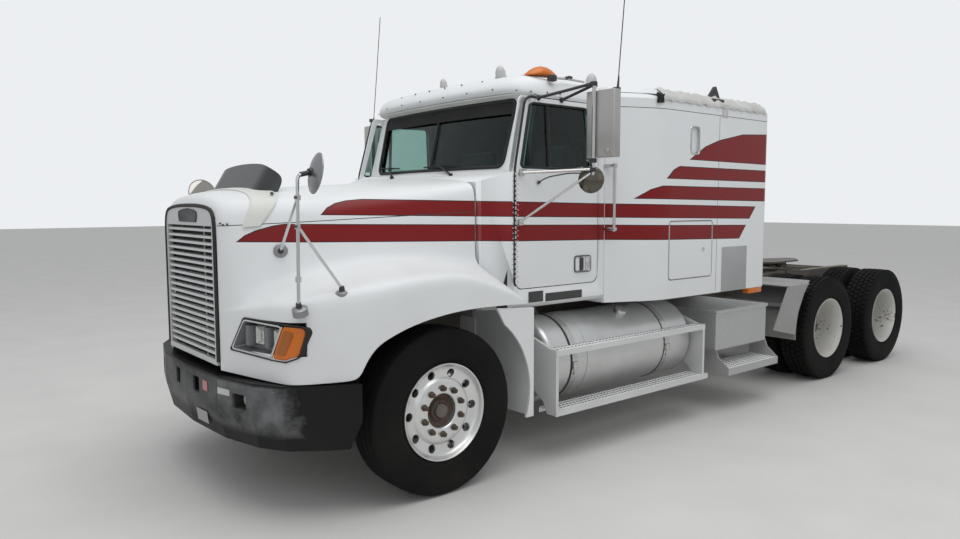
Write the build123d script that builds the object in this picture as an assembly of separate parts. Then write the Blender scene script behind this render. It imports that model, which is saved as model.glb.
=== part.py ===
from build123d import *
import os
from math import cos, radians, sin, tan

# Conventional truck tractor with a raised-side sleeper and two driven rear axles.
# Lengths are millimetres. In this file Y is measured from the front axle to the rear,
# +X is the truck's left side and Z is the height over the floor. The whole truck is
# shifted along Y as it is written, so that the origin is at the middle of its length.

# Running gear
WHEELBASE = 5487
TANDEM_SPACING = 1316
TYRE_R = 518
TYRE_WIDTH = 272
RIM_R = 286
RIM_FLANGE_R = 299
RIM_HALF = 124
FRONT_WHEEL_X = 1030
DUAL_OUTER_X = 1072
DUAL_INNER_X = 730
KINGPIN_X = 862
HUB_R = 105
SPINDLE_R = 42
AXLE_TUBE_R = 66
RUNNING_FIT = 0.05
SEAT_GAP = 0.3
STEER_ARM = 190
TIE_ROD_Z = 372

# Frame
RAIL_X = 432
RAIL_TOP = 1000
RAIL_HEIGHT = 267
RAIL_FLANGE = 89
RAIL_WALL = 9
FRAME_FRONT = -980
FRAME_END = 6895

# Front bumper
BUMPER_TOP = 792
BUMPER_KNEE = 583
BUMPER_DROP = 165
BUMPER_WALL = 12
BUMPER_TUCK = 14

# Hood and fenders
HOOD_BOTTOM = 815
HOOD_REAR = 440
HOOD_WALL = 12
FENDER_X = 1200
HINGE_Y = -1068
HINGE_Z = 852
HINGE_PIN_R = 10
HINGE_PLATE_X = 442
HINGE_LUG_X0 = 447
HINGE_LUG_X1 = 462
MIRROR_R = 112
GRILLE_HALF = 425
GRILLE_TOP = 1726
GRILLE_CROWN = 1768
SLAT_COUNT = 19

# Cab and sleeper
CAB_X = 1020
CAB_FRONT = 462
CAB_REAR = 1578
CAB_BOTTOM = 1070
CAB_WALL = 50
# y, z of the cowl's top from the firewall to the foot of the glass, and the glass's bend
COWL_LINE = ((CAB_FRONT, 1925), (660, 1985), (712, 2010))
CAB_ARC = 6500
ROOF_TOP = 2700
SLEEPER_X = 1210
SLEEPER_REAR = 3565
FLARE_R = 690
FLARE_END = 2137
FLARE_TURN = 24.07
REAR_R = 95
SLEEPER_BOTTOM = 1040
SLEEPER_SEAM = 2490
SLEEPER_WALL = 50
ROOF_TAPER = 38
GLASS_DEPTH = 14
GLASS_THICK = 7
DOOR_GAP = 6
SEAL_DEPTH = 12

# Tanks, steps and box beside the frame
TANK_R = 310
TANK_X = 792
TANK_Z = 655
TANK_Y0 = 930
TANK_Y1 = 2600
STEP_X = 1210

# Fifth wheel
FIFTH_Y = 5360
FIFTH_PIVOT_Z = 1062
FIFTH_TOP = 1130
FIFTH_HALF = 445
KINGPIN_HOLE_R = 26

AXLE_1 = WHEELBASE - TANDEM_SPACING / 2
AXLE_2 = WHEELBASE + TANDEM_SPACING / 2
AXLE_Z = TYRE_R
PINION_Z = AXLE_Z + 50
PINION_FRONT = 290
PINION_BACK = 235
GEARBOX_END = 2180
GEARBOX_Z = 800
RAIL_BOTTOM = RAIL_TOP - RAIL_HEIGHT
BUMPER_FRONT = -1165
SHIFT_Y = -(BUMPER_FRONT + FRAME_END) / 2

os.makedirs("parts", exist_ok=True)


def save(name, *solids):
    """Write one named node, moved so that the origin is at the middle of the length."""
    moved = [Pos(0, SHIFT_Y, 0) * solid for solid in solids]
    export_step(moved[0] if len(moved) == 1 else Compound(moved), f"parts/{name}.step")


def block(x0, x1, y0, y1, z0, z1):
    """A rectangular solid between two corners."""
    return Pos((x0 + x1) / 2, (y0 + y1) / 2, (z0 + z1) / 2) * Box(x1 - x0, y1 - y0, z1 - z0)


def along_x(sketch, x0, x1):
    """Extrude an outline given in (Y, Z) from x0 to x1."""
    return extrude(Plane.YZ.offset(x0) * sketch, amount=x1 - x0)


def along_y(sketch, y0, y1):
    """Extrude an outline given in (X, Z) from y0 to y1."""
    return extrude(Plane.XZ.offset(-y1) * sketch, amount=y1 - y0)


def along_z(sketch, z0, z1, taper=0):
    """Extrude an outline given in (X, Y) from z0 to z1."""
    return extrude(Plane.XY.offset(z0) * sketch, amount=z1 - z0, taper=taper)


def outline(points, radius=0):
    """A closed outline through corner points, with its corners rounded."""
    face = make_face(Polyline(*points, close=True))
    return fillet(face.vertices(), radius) if radius else face


def rod(start, end, radius):
    """A round bar between two points."""
    run = Vector(*end) - Vector(*start)
    return Solid.make_cylinder(radius, run.length, Plane(origin=start, z_dir=run))


def disc(x0, x1, y, z, radius):
    """A round solid whose axis lies across the truck."""
    return rod((x0, y, z), (x1, y, z), radius)


def on_circle(circle, turn):
    """A point of a circle, turned from the +X direction towards the truck's front."""
    x, y, radius = circle
    return x + radius * cos(radians(turn)), y - radius * sin(radians(turn))


def mirrored(solid):
    """The same piece on the truck's right side."""
    return mirror(solid, Plane.YZ)


def first(shape):
    """The largest solid of a result."""
    return max(shape.solids(), key=lambda solid: solid.volume)


def fuse(*solids):
    """Several touching solids as one."""
    result = solids[0]
    for solid in solids[1:]:
        result = result + solid
    return first(result)


def frame_rails():
    """Two channel rails with their flanges inward, tied by channel cross members."""
    web_inner = RAIL_X - RAIL_WALL
    rail = block(web_inner, RAIL_X, FRAME_FRONT, FRAME_END, RAIL_BOTTOM, RAIL_TOP)
    for z0 in (RAIL_BOTTOM, RAIL_TOP - RAIL_WALL):
        rail += block(RAIL_X - RAIL_FLANGE, RAIL_X, FRAME_FRONT, FRAME_END, z0, z0 + RAIL_WALL)
    result = rail + mirrored(rail)
    # Cross members: y of the web, z of the lower edge, height of the channel
    members = ((-970, 740, 60), (1560, 906, 84), (2700, 826, 150), (3900, 776, 180),
               (AXLE_1 - 560, 776, 180), (WHEELBASE, 766, 200), (AXLE_2 + 560, 776, 180),
               (FRAME_END - 60, 766, 200))
    for y, z0, height in members:
        result += block(-web_inner, web_inner, y, y + RAIL_WALL, z0, z0 + height)
        result += block(-web_inner, web_inner, y, y + 60, z0 + height - RAIL_WALL, z0 + height)
    # Rubber mounts under the cab and the sleeper: y, height of the floor they carry
    for y, floor in ((640, CAB_BOTTOM), (1440, CAB_BOTTOM), (1700, SLEEPER_BOTTOM), (3380, SLEEPER_BOTTOM)):
        mount = block(RAIL_X - 70, RAIL_X, y, y + 90, RAIL_TOP - 1, floor - SEAT_GAP)
        result += mount + mirrored(mount)
    # Hood hinges: a plate on each rail's front end with a pin across it
    plate = block(RAIL_X - 1, HINGE_PLATE_X, HINGE_Y - 5, FRAME_FRONT + 90, HINGE_Z - 6, HINGE_Z + 36)
    hinge = plate + disc(HINGE_PLATE_X - 4, HINGE_LUG_X1 - 1, HINGE_Y, HINGE_Z, HINGE_PIN_R)
    result += hinge + mirrored(hinge)
    return first(result)


def bumper_plan(inset=0):
    """Half-swept plan of the bumper: nearly flat in the middle, bent back at the sides."""
    # x, y of the outer face
    rows = ((0, BUMPER_FRONT), (480, -1138), (790, -1060), (960, -962), (1100, -780), (1190, -600))
    half = [(max(x - inset, 0), y + inset) for x, y in rows]
    half[-1] = (half[-1][0], rows[-1][1])
    right = [(-x, y) for x, y in reversed(half[1:])]
    if inset:
        side, open_end = half[-1][0], rows[-1][1] + 40
        half.append((side, open_end))
        right.insert(0, (-side, open_end))
    return outline(right + half)


def front_bumper():
    """Moulded bumper skin with a top ledge, a tucked lower valance and lamp pockets."""
    outer = along_z(bumper_plan(), BUMPER_KNEE, BUMPER_TOP)
    outer += along_z(bumper_plan(), BUMPER_KNEE, BUMPER_KNEE - BUMPER_DROP, BUMPER_TUCK)
    inner = along_z(bumper_plan(BUMPER_WALL), BUMPER_KNEE, BUMPER_TOP - BUMPER_WALL)
    inner += along_z(bumper_plan(BUMPER_WALL), BUMPER_KNEE, BUMPER_KNEE - BUMPER_DROP - 1, BUMPER_TUCK)
    skin = outer - inner
    skin -= along_z(bumper_plan(150), BUMPER_TOP - 2 * BUMPER_WALL, BUMPER_TOP + 1)
    skin -= block(-460, 460, FRAME_FRONT - 15, -600, BUMPER_TOP - 2 * BUMPER_WALL, BUMPER_TOP + 1)
    skin = first(skin)
    # Cut-outs: x0, x1, z0, z1
    for x0, x1, z0, z1 in ((-210, -120, 640, 740), (120, 210, 640, 740), (610, 730, 630, 715),
                           (-730, -610, 630, 715)):
        pocket = outline([(x0, z0), (x1, z0), (x1, z1), (x0, z1)], 12)
        skin -= along_y(pocket, -1200, -980)
    # Brackets from the rail ends to the skin
    bracket = block(RAIL_X - 20, RAIL_X, -1130, FRAME_FRONT, RAIL_BOTTOM, BUMPER_TOP - BUMPER_WALL)
    skin = skin + bracket + mirrored(bracket)
    return first(skin)


def axle_beam():
    """Forged front beam, dropped between the spring seats and raised to the kingpin eyes."""
    # x, z of the top edge and of the bottom edge
    top = ((0, 425), (470, 425), (600, 470), (KINGPIN_X, 560))
    bottom = ((KINGPIN_X, 470), (795, 470), (620, 365), (480, 320), (0, 320))
    points = top + bottom
    face = outline(list(points) + [(-x, z) for x, z in reversed(points) if x])
    beam = along_y(face, -55, 55)
    web = [(0, 350), (470, 350), (600, 395), (760, 460), (760, 500), (590, 445), (465, 400), (0, 400)]
    half = outline(web)
    for y0, y1 in ((-56, -18), (18, 56)):
        pocket = along_y(half, y0, y1)
        beam = beam - pocket - mirrored(pocket)
    for side in (-1, 1):
        beam += rod((side * KINGPIN_X, 0, 468), (side * KINGPIN_X, 0, 568), 58)
        beam -= rod((side * KINGPIN_X, 0, 460), (side * KINGPIN_X, 0, 580), 24)
        beam += block(side * RAIL_X - 60, side * RAIL_X + 60, -90, 90, 420, 452)
    return first(beam)


def leaf_spring():
    """A stack of curved leaves with an eye at each end and its two hangers."""
    eye_y, eye_z, sag, leaf = 640, 620, 105, 14
    pack = None
    # half length of each leaf, counted from the top
    for index, half in enumerate((eye_y, 560, 440, 300)):
        drop = index * leaf
        edge = eye_z - sag * (1 - (half / eye_y) ** 2)
        centre = eye_z - sag
        curve = ThreePointArc((-half, edge - drop), (0, centre - drop), (half, edge - drop))
        lower = ThreePointArc((half, edge - drop - leaf), (0, centre - drop - leaf),
                              (-half, edge - drop - leaf))
        edges = [curve, Line(curve @ 1, lower @ 0), lower, Line(lower @ 1, curve @ 0)]
        band = along_x(make_face(Curve() + edges), RAIL_X - 45, RAIL_X + 45)
        pack = band if pack is None else pack + band
    pack += block(RAIL_X - 50, RAIL_X + 50, -80, 80, 452, eye_z - sag)
    for side in (-1, 1):
        pack += disc(RAIL_X - 45, RAIL_X + 45, side * eye_y, eye_z, 34)
        hanger = outline([(side * eye_y - 38, eye_z), (side * eye_y + 38, eye_z),
                          (side * eye_y + 70, RAIL_BOTTOM), (side * eye_y - 70, RAIL_BOTTOM)])
        pack += along_x(hanger, RAIL_X - 45, RAIL_X - 5)
    return first(pack)


def knuckle():
    """Left steering knuckle: yoke over the beam's eye, spindle, brake plate and tie rod arm."""
    pin = rod((KINGPIN_X, 0, 430), (KINGPIN_X, 0, 606), 24 - RUNNING_FIT)
    upper = rod((KINGPIN_X, 0, 570), (KINGPIN_X, 0, 606), 52)
    lower = rod((KINGPIN_X, 0, 430), (KINGPIN_X, 0, 466), 52)
    face = outline([(KINGPIN_X, 430), (945, 430), (945, 606), (KINGPIN_X, 606)])
    body = along_y(face, -50, 50)
    body -= rod((KINGPIN_X, 0, 466), (KINGPIN_X, 0, 570), 63)
    body += disc(925, 945, 0, AXLE_Z, 150)
    body += disc(940, FRONT_WHEEL_X + 85, 0, AXLE_Z, SPINDLE_R)
    arm = outline([(KINGPIN_X - 28, 0), (KINGPIN_X + 28, 0), (KINGPIN_X + 26, STEER_ARM),
                   (KINGPIN_X - 26, STEER_ARM)])
    body += along_z(arm, 430, 456)
    body += rod((KINGPIN_X, STEER_ARM, TIE_ROD_Z + 28), (KINGPIN_X, STEER_ARM, 456), 26)
    return fuse(body, pin, upper, lower)


def tie_rod():
    """Cross tube between the two steering arms, with a ball end under each arm."""
    rod_z = TIE_ROD_Z
    body = rod((-KINGPIN_X, STEER_ARM, rod_z), (KINGPIN_X, STEER_ARM, rod_z), 19)
    for side in (-1, 1):
        x = side * KINGPIN_X
        body += rod((x, STEER_ARM, rod_z - 27), (x, STEER_ARM, rod_z + 27.7), 30)
    return first(body)


def tyre(x, sidewall):
    """One tyre: crowned tread, rounded shoulders, bulged sidewalls and beads at the rim."""
    half = TYRE_WIDTH / 2
    tread = half - 26
    bead = RIM_HALF - 15 - SEAT_GAP
    shoulder = TYRE_R - 24
    inside = RIM_R
    # Section in (X, radius) round the wheel centre, walked from one bead to the other
    right = [Line((-bead, inside), (-bead + 4, RIM_FLANGE_R + 6)),
             ThreePointArc((-bead + 4, RIM_FLANGE_R + 6), (-half, 400), (-half + 8, shoulder - 20)),
             ThreePointArc((-half + 8, shoulder - 20), (-half + 14, TYRE_R - 16), (-tread, TYRE_R - 3))]
    crown = ThreePointArc((-tread, TYRE_R - 3), (0, TYRE_R), (tread, TYRE_R - 3))
    left = [ThreePointArc((tread, TYRE_R - 3), (half - 14, TYRE_R - 16), (half - 8, shoulder - 20)),
            ThreePointArc((half - 8, shoulder - 20), (half, 400), (bead - 4, RIM_FLANGE_R + 6)),
            Line((bead - 4, RIM_FLANGE_R + 6), (bead, inside))]
    close = [Line((bead, inside), (bead - sidewall, inside)),
             Line((bead - sidewall, inside), (bead - sidewall - 10, 420)),
             ThreePointArc((bead - sidewall - 10, 420), (0, TYRE_R - 26), (-bead + sidewall + 10, 420)),
             Line((-bead + sidewall + 10, 420), (-bead + sidewall, inside)),
             Line((-bead + sidewall, inside), (-bead, inside))]
    face = make_face(Curve() + (right + [crown] + left + close))
    ring = revolve(Plane.XY * face, Axis.X, 360)
    return Pos(x, 0, AXLE_Z) * first(ring)


def rim(x, disc_x, dish, disc_edge):
    """Drop-centre rim with a dished disc, ten hand holes and a hub bore.

    disc_x is where the disc's bolting face lies and dish how far its rim joint is from it,
    both from the rim's middle and positive outward.
    """
    wall = 9
    half = RIM_HALF
    well = RIM_R - 30
    # radius and x of the outer side of the rim's section
    outer = [(-half, RIM_FLANGE_R), (-half + 14, RIM_FLANGE_R), (-half + 15, RIM_R - SEAT_GAP),
             (-half + 55, RIM_R - 6), (-half + 80, well), (half - 80, well), (half - 55, RIM_R - 6),
             (half - 15, RIM_R - SEAT_GAP), (half - 14, RIM_FLANGE_R), (half, RIM_FLANGE_R)]
    inner = [(half, RIM_FLANGE_R - wall), (half - 7, RIM_R - 13), (half - 50, RIM_R - 18),
             (half - 76, well - wall), (-half + 76, well - wall), (-half + 50, RIM_R - 18),
             (-half + 7, RIM_R - 13), (-half, RIM_FLANGE_R - wall)]
    ring = revolve(outline(outer + inner), Axis.X, 360)
    # Disc: flat bolting face, then a cone out to the rim's well
    edge = disc_x + dish
    joint = RIM_R - 15
    plate = outline([(disc_x, 84), (disc_x, 168), (edge, disc_edge), (edge - 2, joint),
                     (edge - 16, joint), (edge - 12, disc_edge - 6), (disc_x - 12, 172),
                     (disc_x - 12, 84)])
    body = ring + revolve(plate, Axis.X, 360)
    hole_ring = 205
    for index in range(10):
        angle = radians(36 * index + 18)
        y, z = hole_ring * cos(angle), hole_ring * sin(angle)
        body -= rod((disc_x - 90, y, z), (disc_x + 90, y, z), 27)
    return Pos(x, 0, AXLE_Z) * first(body)


def front_wheel():
    """Left front wheel: rim, hub with its cap, and the brake drum behind the disc."""
    body = rim(FRONT_WHEEL_X, 62, 20, 240)
    x = FRONT_WHEEL_X
    hub = disc(x - 78, x + 62, 0, AXLE_Z, HUB_R - 22)
    hub += disc(x + 40, x + 50, 0, AXLE_Z, 168)
    hub += disc(x + 62, x + 130, 0, AXLE_Z, 66)
    drum = disc(x - 78, x + 50, 0, AXLE_Z, 212) - disc(x - 79, x + 38, 0, AXLE_Z, 200)
    return first(fuse(body, hub, drum) - disc(x - 90, x + 90, 0, AXLE_Z, SPINDLE_R + RUNNING_FIT))


def dual_wheel():
    """Left pair of drive rims bolted disc to disc on one hub, with the drum inboard."""
    outer = rim(DUAL_OUTER_X, -160, 84, 236)
    inner = mirrored(rim(-DUAL_INNER_X, -160, 84, 236))
    flange = DUAL_OUTER_X - 160 - 12
    hub = disc(flange - 160, DUAL_OUTER_X - 60, 0, AXLE_Z, HUB_R - 20)
    hub += disc(flange - 22, flange, 0, AXLE_Z, 168)
    drum = disc(DUAL_INNER_X - 110, flange - 10, 0, AXLE_Z, 208)
    drum -= disc(DUAL_INNER_X - 111, flange - 22, 0, AXLE_Z, 196)
    bore = disc(flange - 170, DUAL_OUTER_X - 90, 0, AXLE_Z, SPINDLE_R + RUNNING_FIT)
    return first(fuse(outer, inner, hub, drum) - bore)


def drive_axle(y):
    """Driven axle: banjo centre, tapered tubes, spindles and brake spiders."""
    spindle_end = DUAL_OUTER_X - 92
    body = revolve(outline([(-210, 0), (-210, 80), (-90, 190), (90, 190), (210, 80), (210, 0)]),
                   Axis.X, 360)
    body = Pos(0, y, AXLE_Z) * first(body)
    body += disc(-560, 560, y, AXLE_Z, AXLE_TUBE_R)
    body += disc(-spindle_end, spindle_end, y, AXLE_Z, SPINDLE_R)
    for side in (-1, 1):
        body += disc(side * 585, side * 600, y, AXLE_Z, 150)
        body += disc(side * 500, side * 600, y, AXLE_Z, 72)
    body += rod((0, y + PINION_BACK, PINION_Z), (0, y - PINION_FRONT, PINION_Z), 66)
    return first(body)


def trailing_arm(y):
    """Left trailing arm of one drive axle with its hanger, air spring and frame seat."""
    x0, x1 = RAIL_X - 60, RAIL_X + 30
    seat = AXLE_Z + AXLE_TUBE_R + SEAT_GAP
    arm = outline([(y - 480, 575), (y - 120, 628), (y + 100, 628), (y + 260, 500), (y + 430, 500),
                   (y + 430, 460), (y + 245, 460), (y + 90, seat), (y - 110, seat), (y - 480, 530)])
    body = along_x(arm, x0, x1)
    hanger = outline([(y - 530, 505), (y - 430, 505), (y - 390, RAIL_BOTTOM), (y - 570, RAIL_BOTTOM)])
    body += along_x(hanger, x0 - 10, x1 + 10)
    body += rod((RAIL_X - 30, y + 345, 480), (RAIL_X - 30, y + 345, RAIL_BOTTOM), 110)
    return first(body)


def drive_shafts():
    """Propeller shafts: transmission to the forward drive axle, and axle to axle."""
    # y and z where each shaft begins and ends
    rows = ((GEARBOX_END, GEARBOX_Z, AXLE_1 - PINION_FRONT, PINION_Z),
            (AXLE_1 + PINION_BACK, PINION_Z, AXLE_2 - PINION_FRONT, PINION_Z))
    yoke = 45
    shafts = []
    for y0, z0, y1, z1 in rows:
        start, end = y0 + SEAT_GAP, y1 - SEAT_GAP
        shaft = rod((0, start + yoke / 2, z0), (0, end - yoke / 2, z1), 48)
        shaft -= block(-70, 70, start - yoke, start + yoke / 2, z0 - 90, z0 + 90)
        shaft -= block(-70, 70, end - yoke / 2, end + yoke, z1 - 90, z1 + 90)
        shafts.append(fuse(shaft, rod((0, start, z0), (0, start + yoke, z0), 62),
                           rod((0, end - yoke, z1), (0, end, z1), 62)))
    return shafts


def engine():
    """Engine and gearbox as plain blocks in their real place between the rails."""
    body = block(-330, 330, -640, 380, 560, 1560)
    body += block(-250, 250, 380, 1250, 600, 960)
    body += block(-160, 160, 1250, GEARBOX_END, 700, 900)
    web = RAIL_X - RAIL_WALL - SEAT_GAP
    for y0 in (-380, 290):
        body += block(-web, web, y0, y0 + 90, 850, 900)
    return first(body)


def radiator():
    """Radiator core with its top and bottom tanks, standing on the front cross member."""
    foot = 800 + SEAT_GAP
    body = block(-335, 335, -945, -835, foot, foot + 70)
    body += block(-335, 335, -930, -850, foot, 1012) + block(-380, 380, -930, -850, 1012, 1540)
    body += block(-395, 395, -945, -835, 1540, 1610)
    body += block(-300, 300, -850, -640 - SEAT_GAP, 1000, 1500)
    return first(body)


def nose_profile(inset):
    """Side view of the hood's nose: raked grille face, rounded lip, top line to the cowl."""
    front = -1108 + inset
    rise = GRILLE_CROWN + 20 - inset
    low = HOOD_BOTTOM - (60 if inset else 0)
    back = 700 + (60 if inset else 0)
    lines = [Line((back, low), (front, low)), Line((front, low), (front + 18, 1660)),
             ThreePointArc((front + 18, 1660), (front + 42, rise - 25), (front + 110, rise + 22)),
             Line((front + 110, rise + 22), (front + 110, 2100)), Line((front + 110, 2100), (back, 2100)),
             Line((back, 2100), (back, low))]
    return make_face(Curve() + lines)


def bonnet_section(side_x, shoulder_z, top_x, top_z, crown_z, inset, low):
    """Cross section of the hood's middle: upright sides, rounded shoulders, crowned top."""
    side, top = side_x - inset, top_x - inset / 2
    shoulder, edge, crown = shoulder_z - inset / 2, top_z - inset, crown_z - inset
    bend_x = top + (side - top) * 0.72
    bend_z = shoulder + (edge - shoulder) * 0.72
    lines = [Line((-side, low), (side, low)), Line((side, low), (side, shoulder)),
             ThreePointArc((side, shoulder), (bend_x, bend_z), (top, edge)),
             ThreePointArc((top, edge), (0, crown), (-top, edge)),
             ThreePointArc((-top, edge), (-bend_x, bend_z), (-side, shoulder)),
             Line((-side, shoulder), (-side, low))]
    return make_face(Curve() + lines)


def bonnet(inset=0):
    """The hood between the fenders, narrower and lower towards the grille."""
    # y, side x, shoulder z, top x, top z, crown z
    rows = ((-1120, 560, 1600, 440, 1755, 1800),
            (-640, 715, 1700, 590, 1832, 1884),
            (0, 815, 1790, 715, 1888, 1922),
            (HOOD_REAR, 900, 1868, 818, 1935, 1962))
    low = HOOD_BOTTOM - (60 if inset else 0)
    last = len(rows) - 1
    sections = []
    for index, (y, side_x, shoulder_z, top_x, top_z, crown_z) in enumerate(rows):
        face = bonnet_section(side_x, shoulder_z, top_x, top_z, crown_z, inset, low)
        sections.append(Plane.XZ.offset(-y) * face)
    body = loft(sections, ruled=True)
    if inset:
        y, side_x, shoulder_z, top_x, top_z, crown_z = rows[last]
        face = bonnet_section(side_x, shoulder_z, top_x, top_z, crown_z, inset, low)
        body += along_y(face, y - 1, y + 60)
    return body


def fender_side(rise, inset):
    """Side view of a fender: crease line over the wheel and the flat-topped arch below."""
    # y, z of the crease from the headlamp to the fender's rear point
    rows = ((-1130, 1190), (-1000, 1232), (-790, 1278), (-480, 1345), (-140, 1386), (190, 1378),
            (395, 1303), (630, 1157))
    crease = [(y, z + rise * max(0, 1 - max(0, y - 190) / 440) - inset) for y, z in rows]
    if inset:
        rear = [(700, crease[-1][1]), (700, 700), (-1130, 700)]
        return outline(crease + rear)
    lines = [Line(start, end) for start, end in zip(crease, crease[1:])]
    lines += [Line(crease[-1], (630, 1135)), Line((630, 1135), (290, 1142)),
              ThreePointArc((290, 1142), (-20, 1130), (-270, 1086)),
              ThreePointArc((-270, 1086), (-480, 1008), (-598, HOOD_BOTTOM)),
              Line((-598, HOOD_BOTTOM), (-1130, HOOD_BOTTOM)),
              Line((-1130, HOOD_BOTTOM), crease[0])]
    return make_face(Curve() + lines)


def fender(inset=0):
    """Left fender as a loft from its root in the hood's side to its outer crease."""
    root, out = 450, FENDER_X + 40
    inner = Plane.YZ.offset(root) * fender_side(62, inset)
    outer = Plane.YZ.offset(out) * fender_side(-6, inset)
    return loft([inner, outer], ruled=True)


def hood_plan(inset=0):
    """Plan of the hood: flat nose, turned corners at the lamps, flared fenders."""
    # x, y from the middle of the nose to the fender's rear end
    rows = ((0, -1112), (440, -1104), (573, -1060), (777, -992), (864, -963), (935, -940), (985, -910),
            (1030, -855), (1095, -740), (1165, -600), (FENDER_X, -430), (FENDER_X, 632))
    half = [(max(x - inset, 0), y + inset) for x, y in rows]
    half[-1] = (half[-1][0], rows[-1][1] + (60 if inset else 0))
    left = [(-x, y) for x, y in reversed(half[1:])]
    return outline(left + half)


def hood_form(inset=0):
    """The whole hood as a solid, made smaller by the inset on every side."""
    low = HOOD_BOTTOM - (60 if inset else 0)
    side = fender(inset)
    body = bonnet(inset) + side + mirrored(side)
    body = body & along_z(hood_plan(inset), low, 2100)
    return body & along_x(nose_profile(inset), -1300, 1300)


def grille_outline(grow=0):
    """Front view of the grille opening: upright sides and a shallow crowned top."""
    side, top, crown = GRILLE_HALF + grow, GRILLE_TOP + grow, GRILLE_CROWN + grow
    low = 838 - grow
    corner = 60
    lines = [Line((-side, low), (side, low)), Line((side, low), (side, top - corner)),
             ThreePointArc((side, top - corner), (side - corner * 0.3, top - corner * 0.3),
                           (side - corner, top)),
             ThreePointArc((side - corner, top), (0, crown), (-side + corner, top)),
             ThreePointArc((-side + corner, top), (-side + corner * 0.3, top - corner * 0.3),
                           (-side, top - corner)),
             Line((-side, top - corner), (-side, low))]
    return make_face(Curve() + lines)


def lamp_window(grow=0):
    """The space of the left headlamp: a slanted front window that wraps round the corner."""
    front = outline([(575 - grow, 962 - grow), (610 - grow, 1122 + grow), (1300, 1150 + grow),
                     (1300, 962 - grow)])
    side = outline([(-1300, 950 - grow), (-905 + grow, 950 - grow), (-852 + grow, 1020),
                    (-838 + grow, 1180), (-1300, 1180)])
    return along_y(front, -1300, -700) & along_x(side, 300, 1300)


def hood():
    """Hood shell with the grille opening and lamp pockets cut, and hinge ears at its nose."""
    shell = hood_form() - hood_form(HOOD_WALL)
    shell -= block(-1300, 1300, HOOD_REAR, 700, 1400, 2100)
    cab_side = cab_form(-10)
    shell -= cab_side
    shell -= along_y(grille_outline(), -1300, -1000)
    pocket = lamp_window(SEAT_GAP)
    shell = shell - pocket - mirrored(pocket)
    shell = first(shell)
    # Hinge lugs behind the nose, bored for the pins on the rails
    lug = disc(HINGE_LUG_X0, HINGE_LUG_X1, HINGE_Y, HINGE_Z, HINGE_PIN_R + 12)
    lug += block(HINGE_LUG_X0, HINGE_LUG_X1, HINGE_Y - 24, HINGE_Y + 4, HINGE_Z, HINGE_Z + 80)
    bore = disc(HINGE_LUG_X0 - 1, HINGE_LUG_X1 + 1, HINGE_Y, HINGE_Z, HINGE_PIN_R + RUNNING_FIT)
    shell = shell + lug + mirrored(lug) - bore - mirrored(bore)
    return first(shell)


def grille():
    """Grille: bright surround with angled cross slats in front of the radiator."""
    clear = SEAT_GAP
    face = grille_outline(-clear)
    inner = grille_outline(-52)
    lower = block(-GRILLE_HALF, GRILLE_HALF, -1200, -1000, 800, 888)
    upper = block(-GRILLE_HALF, GRILLE_HALF, -1200, -1000, 1648, 1800)
    depth0, depth1 = -1116, -1084
    frame = along_y(face, depth0, depth1)
    frame -= along_y(inner, depth0 - 1, depth1 + 1) - lower - upper
    pitch = (1648 - 888) / SLAT_COUNT
    half = GRILLE_HALF - 50
    for index in range(SLAT_COUNT):
        z = 888 + pitch * (index + 0.5)
        slat = outline([(depth0 + 2, z - 13), (depth0 + 6, z + 9), (depth1 - 2, z + 14),
                        (depth1 - 4, z + 8), (depth0 + 12, z + 2), (depth0 + 8, z - 13)])
        frame += along_x(slat, -half - 2, half + 2)
    for x in (-190, 190):
        frame += block(x - 5, x + 5, depth1 - 10, depth1, 880, 1655)
    return first(frame)


def headlamp():
    """Left headlamp and turn lamp in one housing, flush with the hood's skin."""
    body = hood_form() & lamp_window(0)
    body -= hood_form(70)
    return first(body)


def bug_deflector():
    """Smoked deflector with bent ends, rising from a moulded strap that wraps the hood."""
    face_y, thick = -897, 8
    plan = outline([(475, face_y + 42), (445, face_y), (-445, face_y), (-475, face_y + 42),
                    (-475, face_y + 42 + thick), (-445 + thick / 2, face_y + thick),
                    (445 - thick / 2, face_y + thick), (475, face_y + 42 + thick)])
    lean = 0.6
    blade = extrude(Plane.XY.offset(1700) * plan, amount=420, dir=Vector(0, lean, 1).normalized())
    front = make_face(Curve() + [Line((-500, 1700), (500, 1700)), Line((500, 1700), (500, 1920)),
                                 ThreePointArc((500, 1920), (430, 1986), (330, 2014)),
                                 ThreePointArc((330, 2014), (0, 2040), (-330, 2014)),
                                 ThreePointArc((-330, 2014), (-430, 1986), (-500, 1920)),
                                 Line((-500, 1920), (-500, 1700))])
    blade = (blade & along_y(front, -1200, -300)) - hood_form(-2)
    strap = hood_form(-10) - hood_form(-SEAT_GAP)
    band = outline([(-1012, 1622), (-930, 1622), (-800, 1862), (-740, 1960), (-855, 1960)])
    strap = strap & along_x(band, -900, 900)
    return fuse(strap, first(blade))


def hood_mirror(top, head, face):
    """Hood mirror: an upright tube braced by two struts, and a dished head that faces a direction."""
    foot = (1064, -905, 1262)
    rear_foot = (1075, -655, 1326)
    side_foot = (672, -832, 1517)
    run = Vector(top) - Vector(foot)
    low_collar = tuple(Vector(foot) + run * 0.60)
    high_collar = tuple(Vector(foot) + run * 0.82)
    body = rod(foot, top, 11) + rod((1062, -903, 1190), foot, 26)
    body += rod(low_collar, rear_foot, 8) + rod((1073, -650, 1250), rear_foot, 22)
    body += rod(high_collar, side_foot, 8) + rod((600, -828, 1517), side_foot, 40)
    body += rod(top, head, 9) + Solid.make_sphere(12).locate(Location(top))
    back = Vector(head) - Vector(face).normalized() * 12
    body += rod(tuple(back), tuple(back + Vector(face).normalized() * 22), MIRROR_R)
    return first(body - hood_form(-SEAT_GAP))


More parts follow.
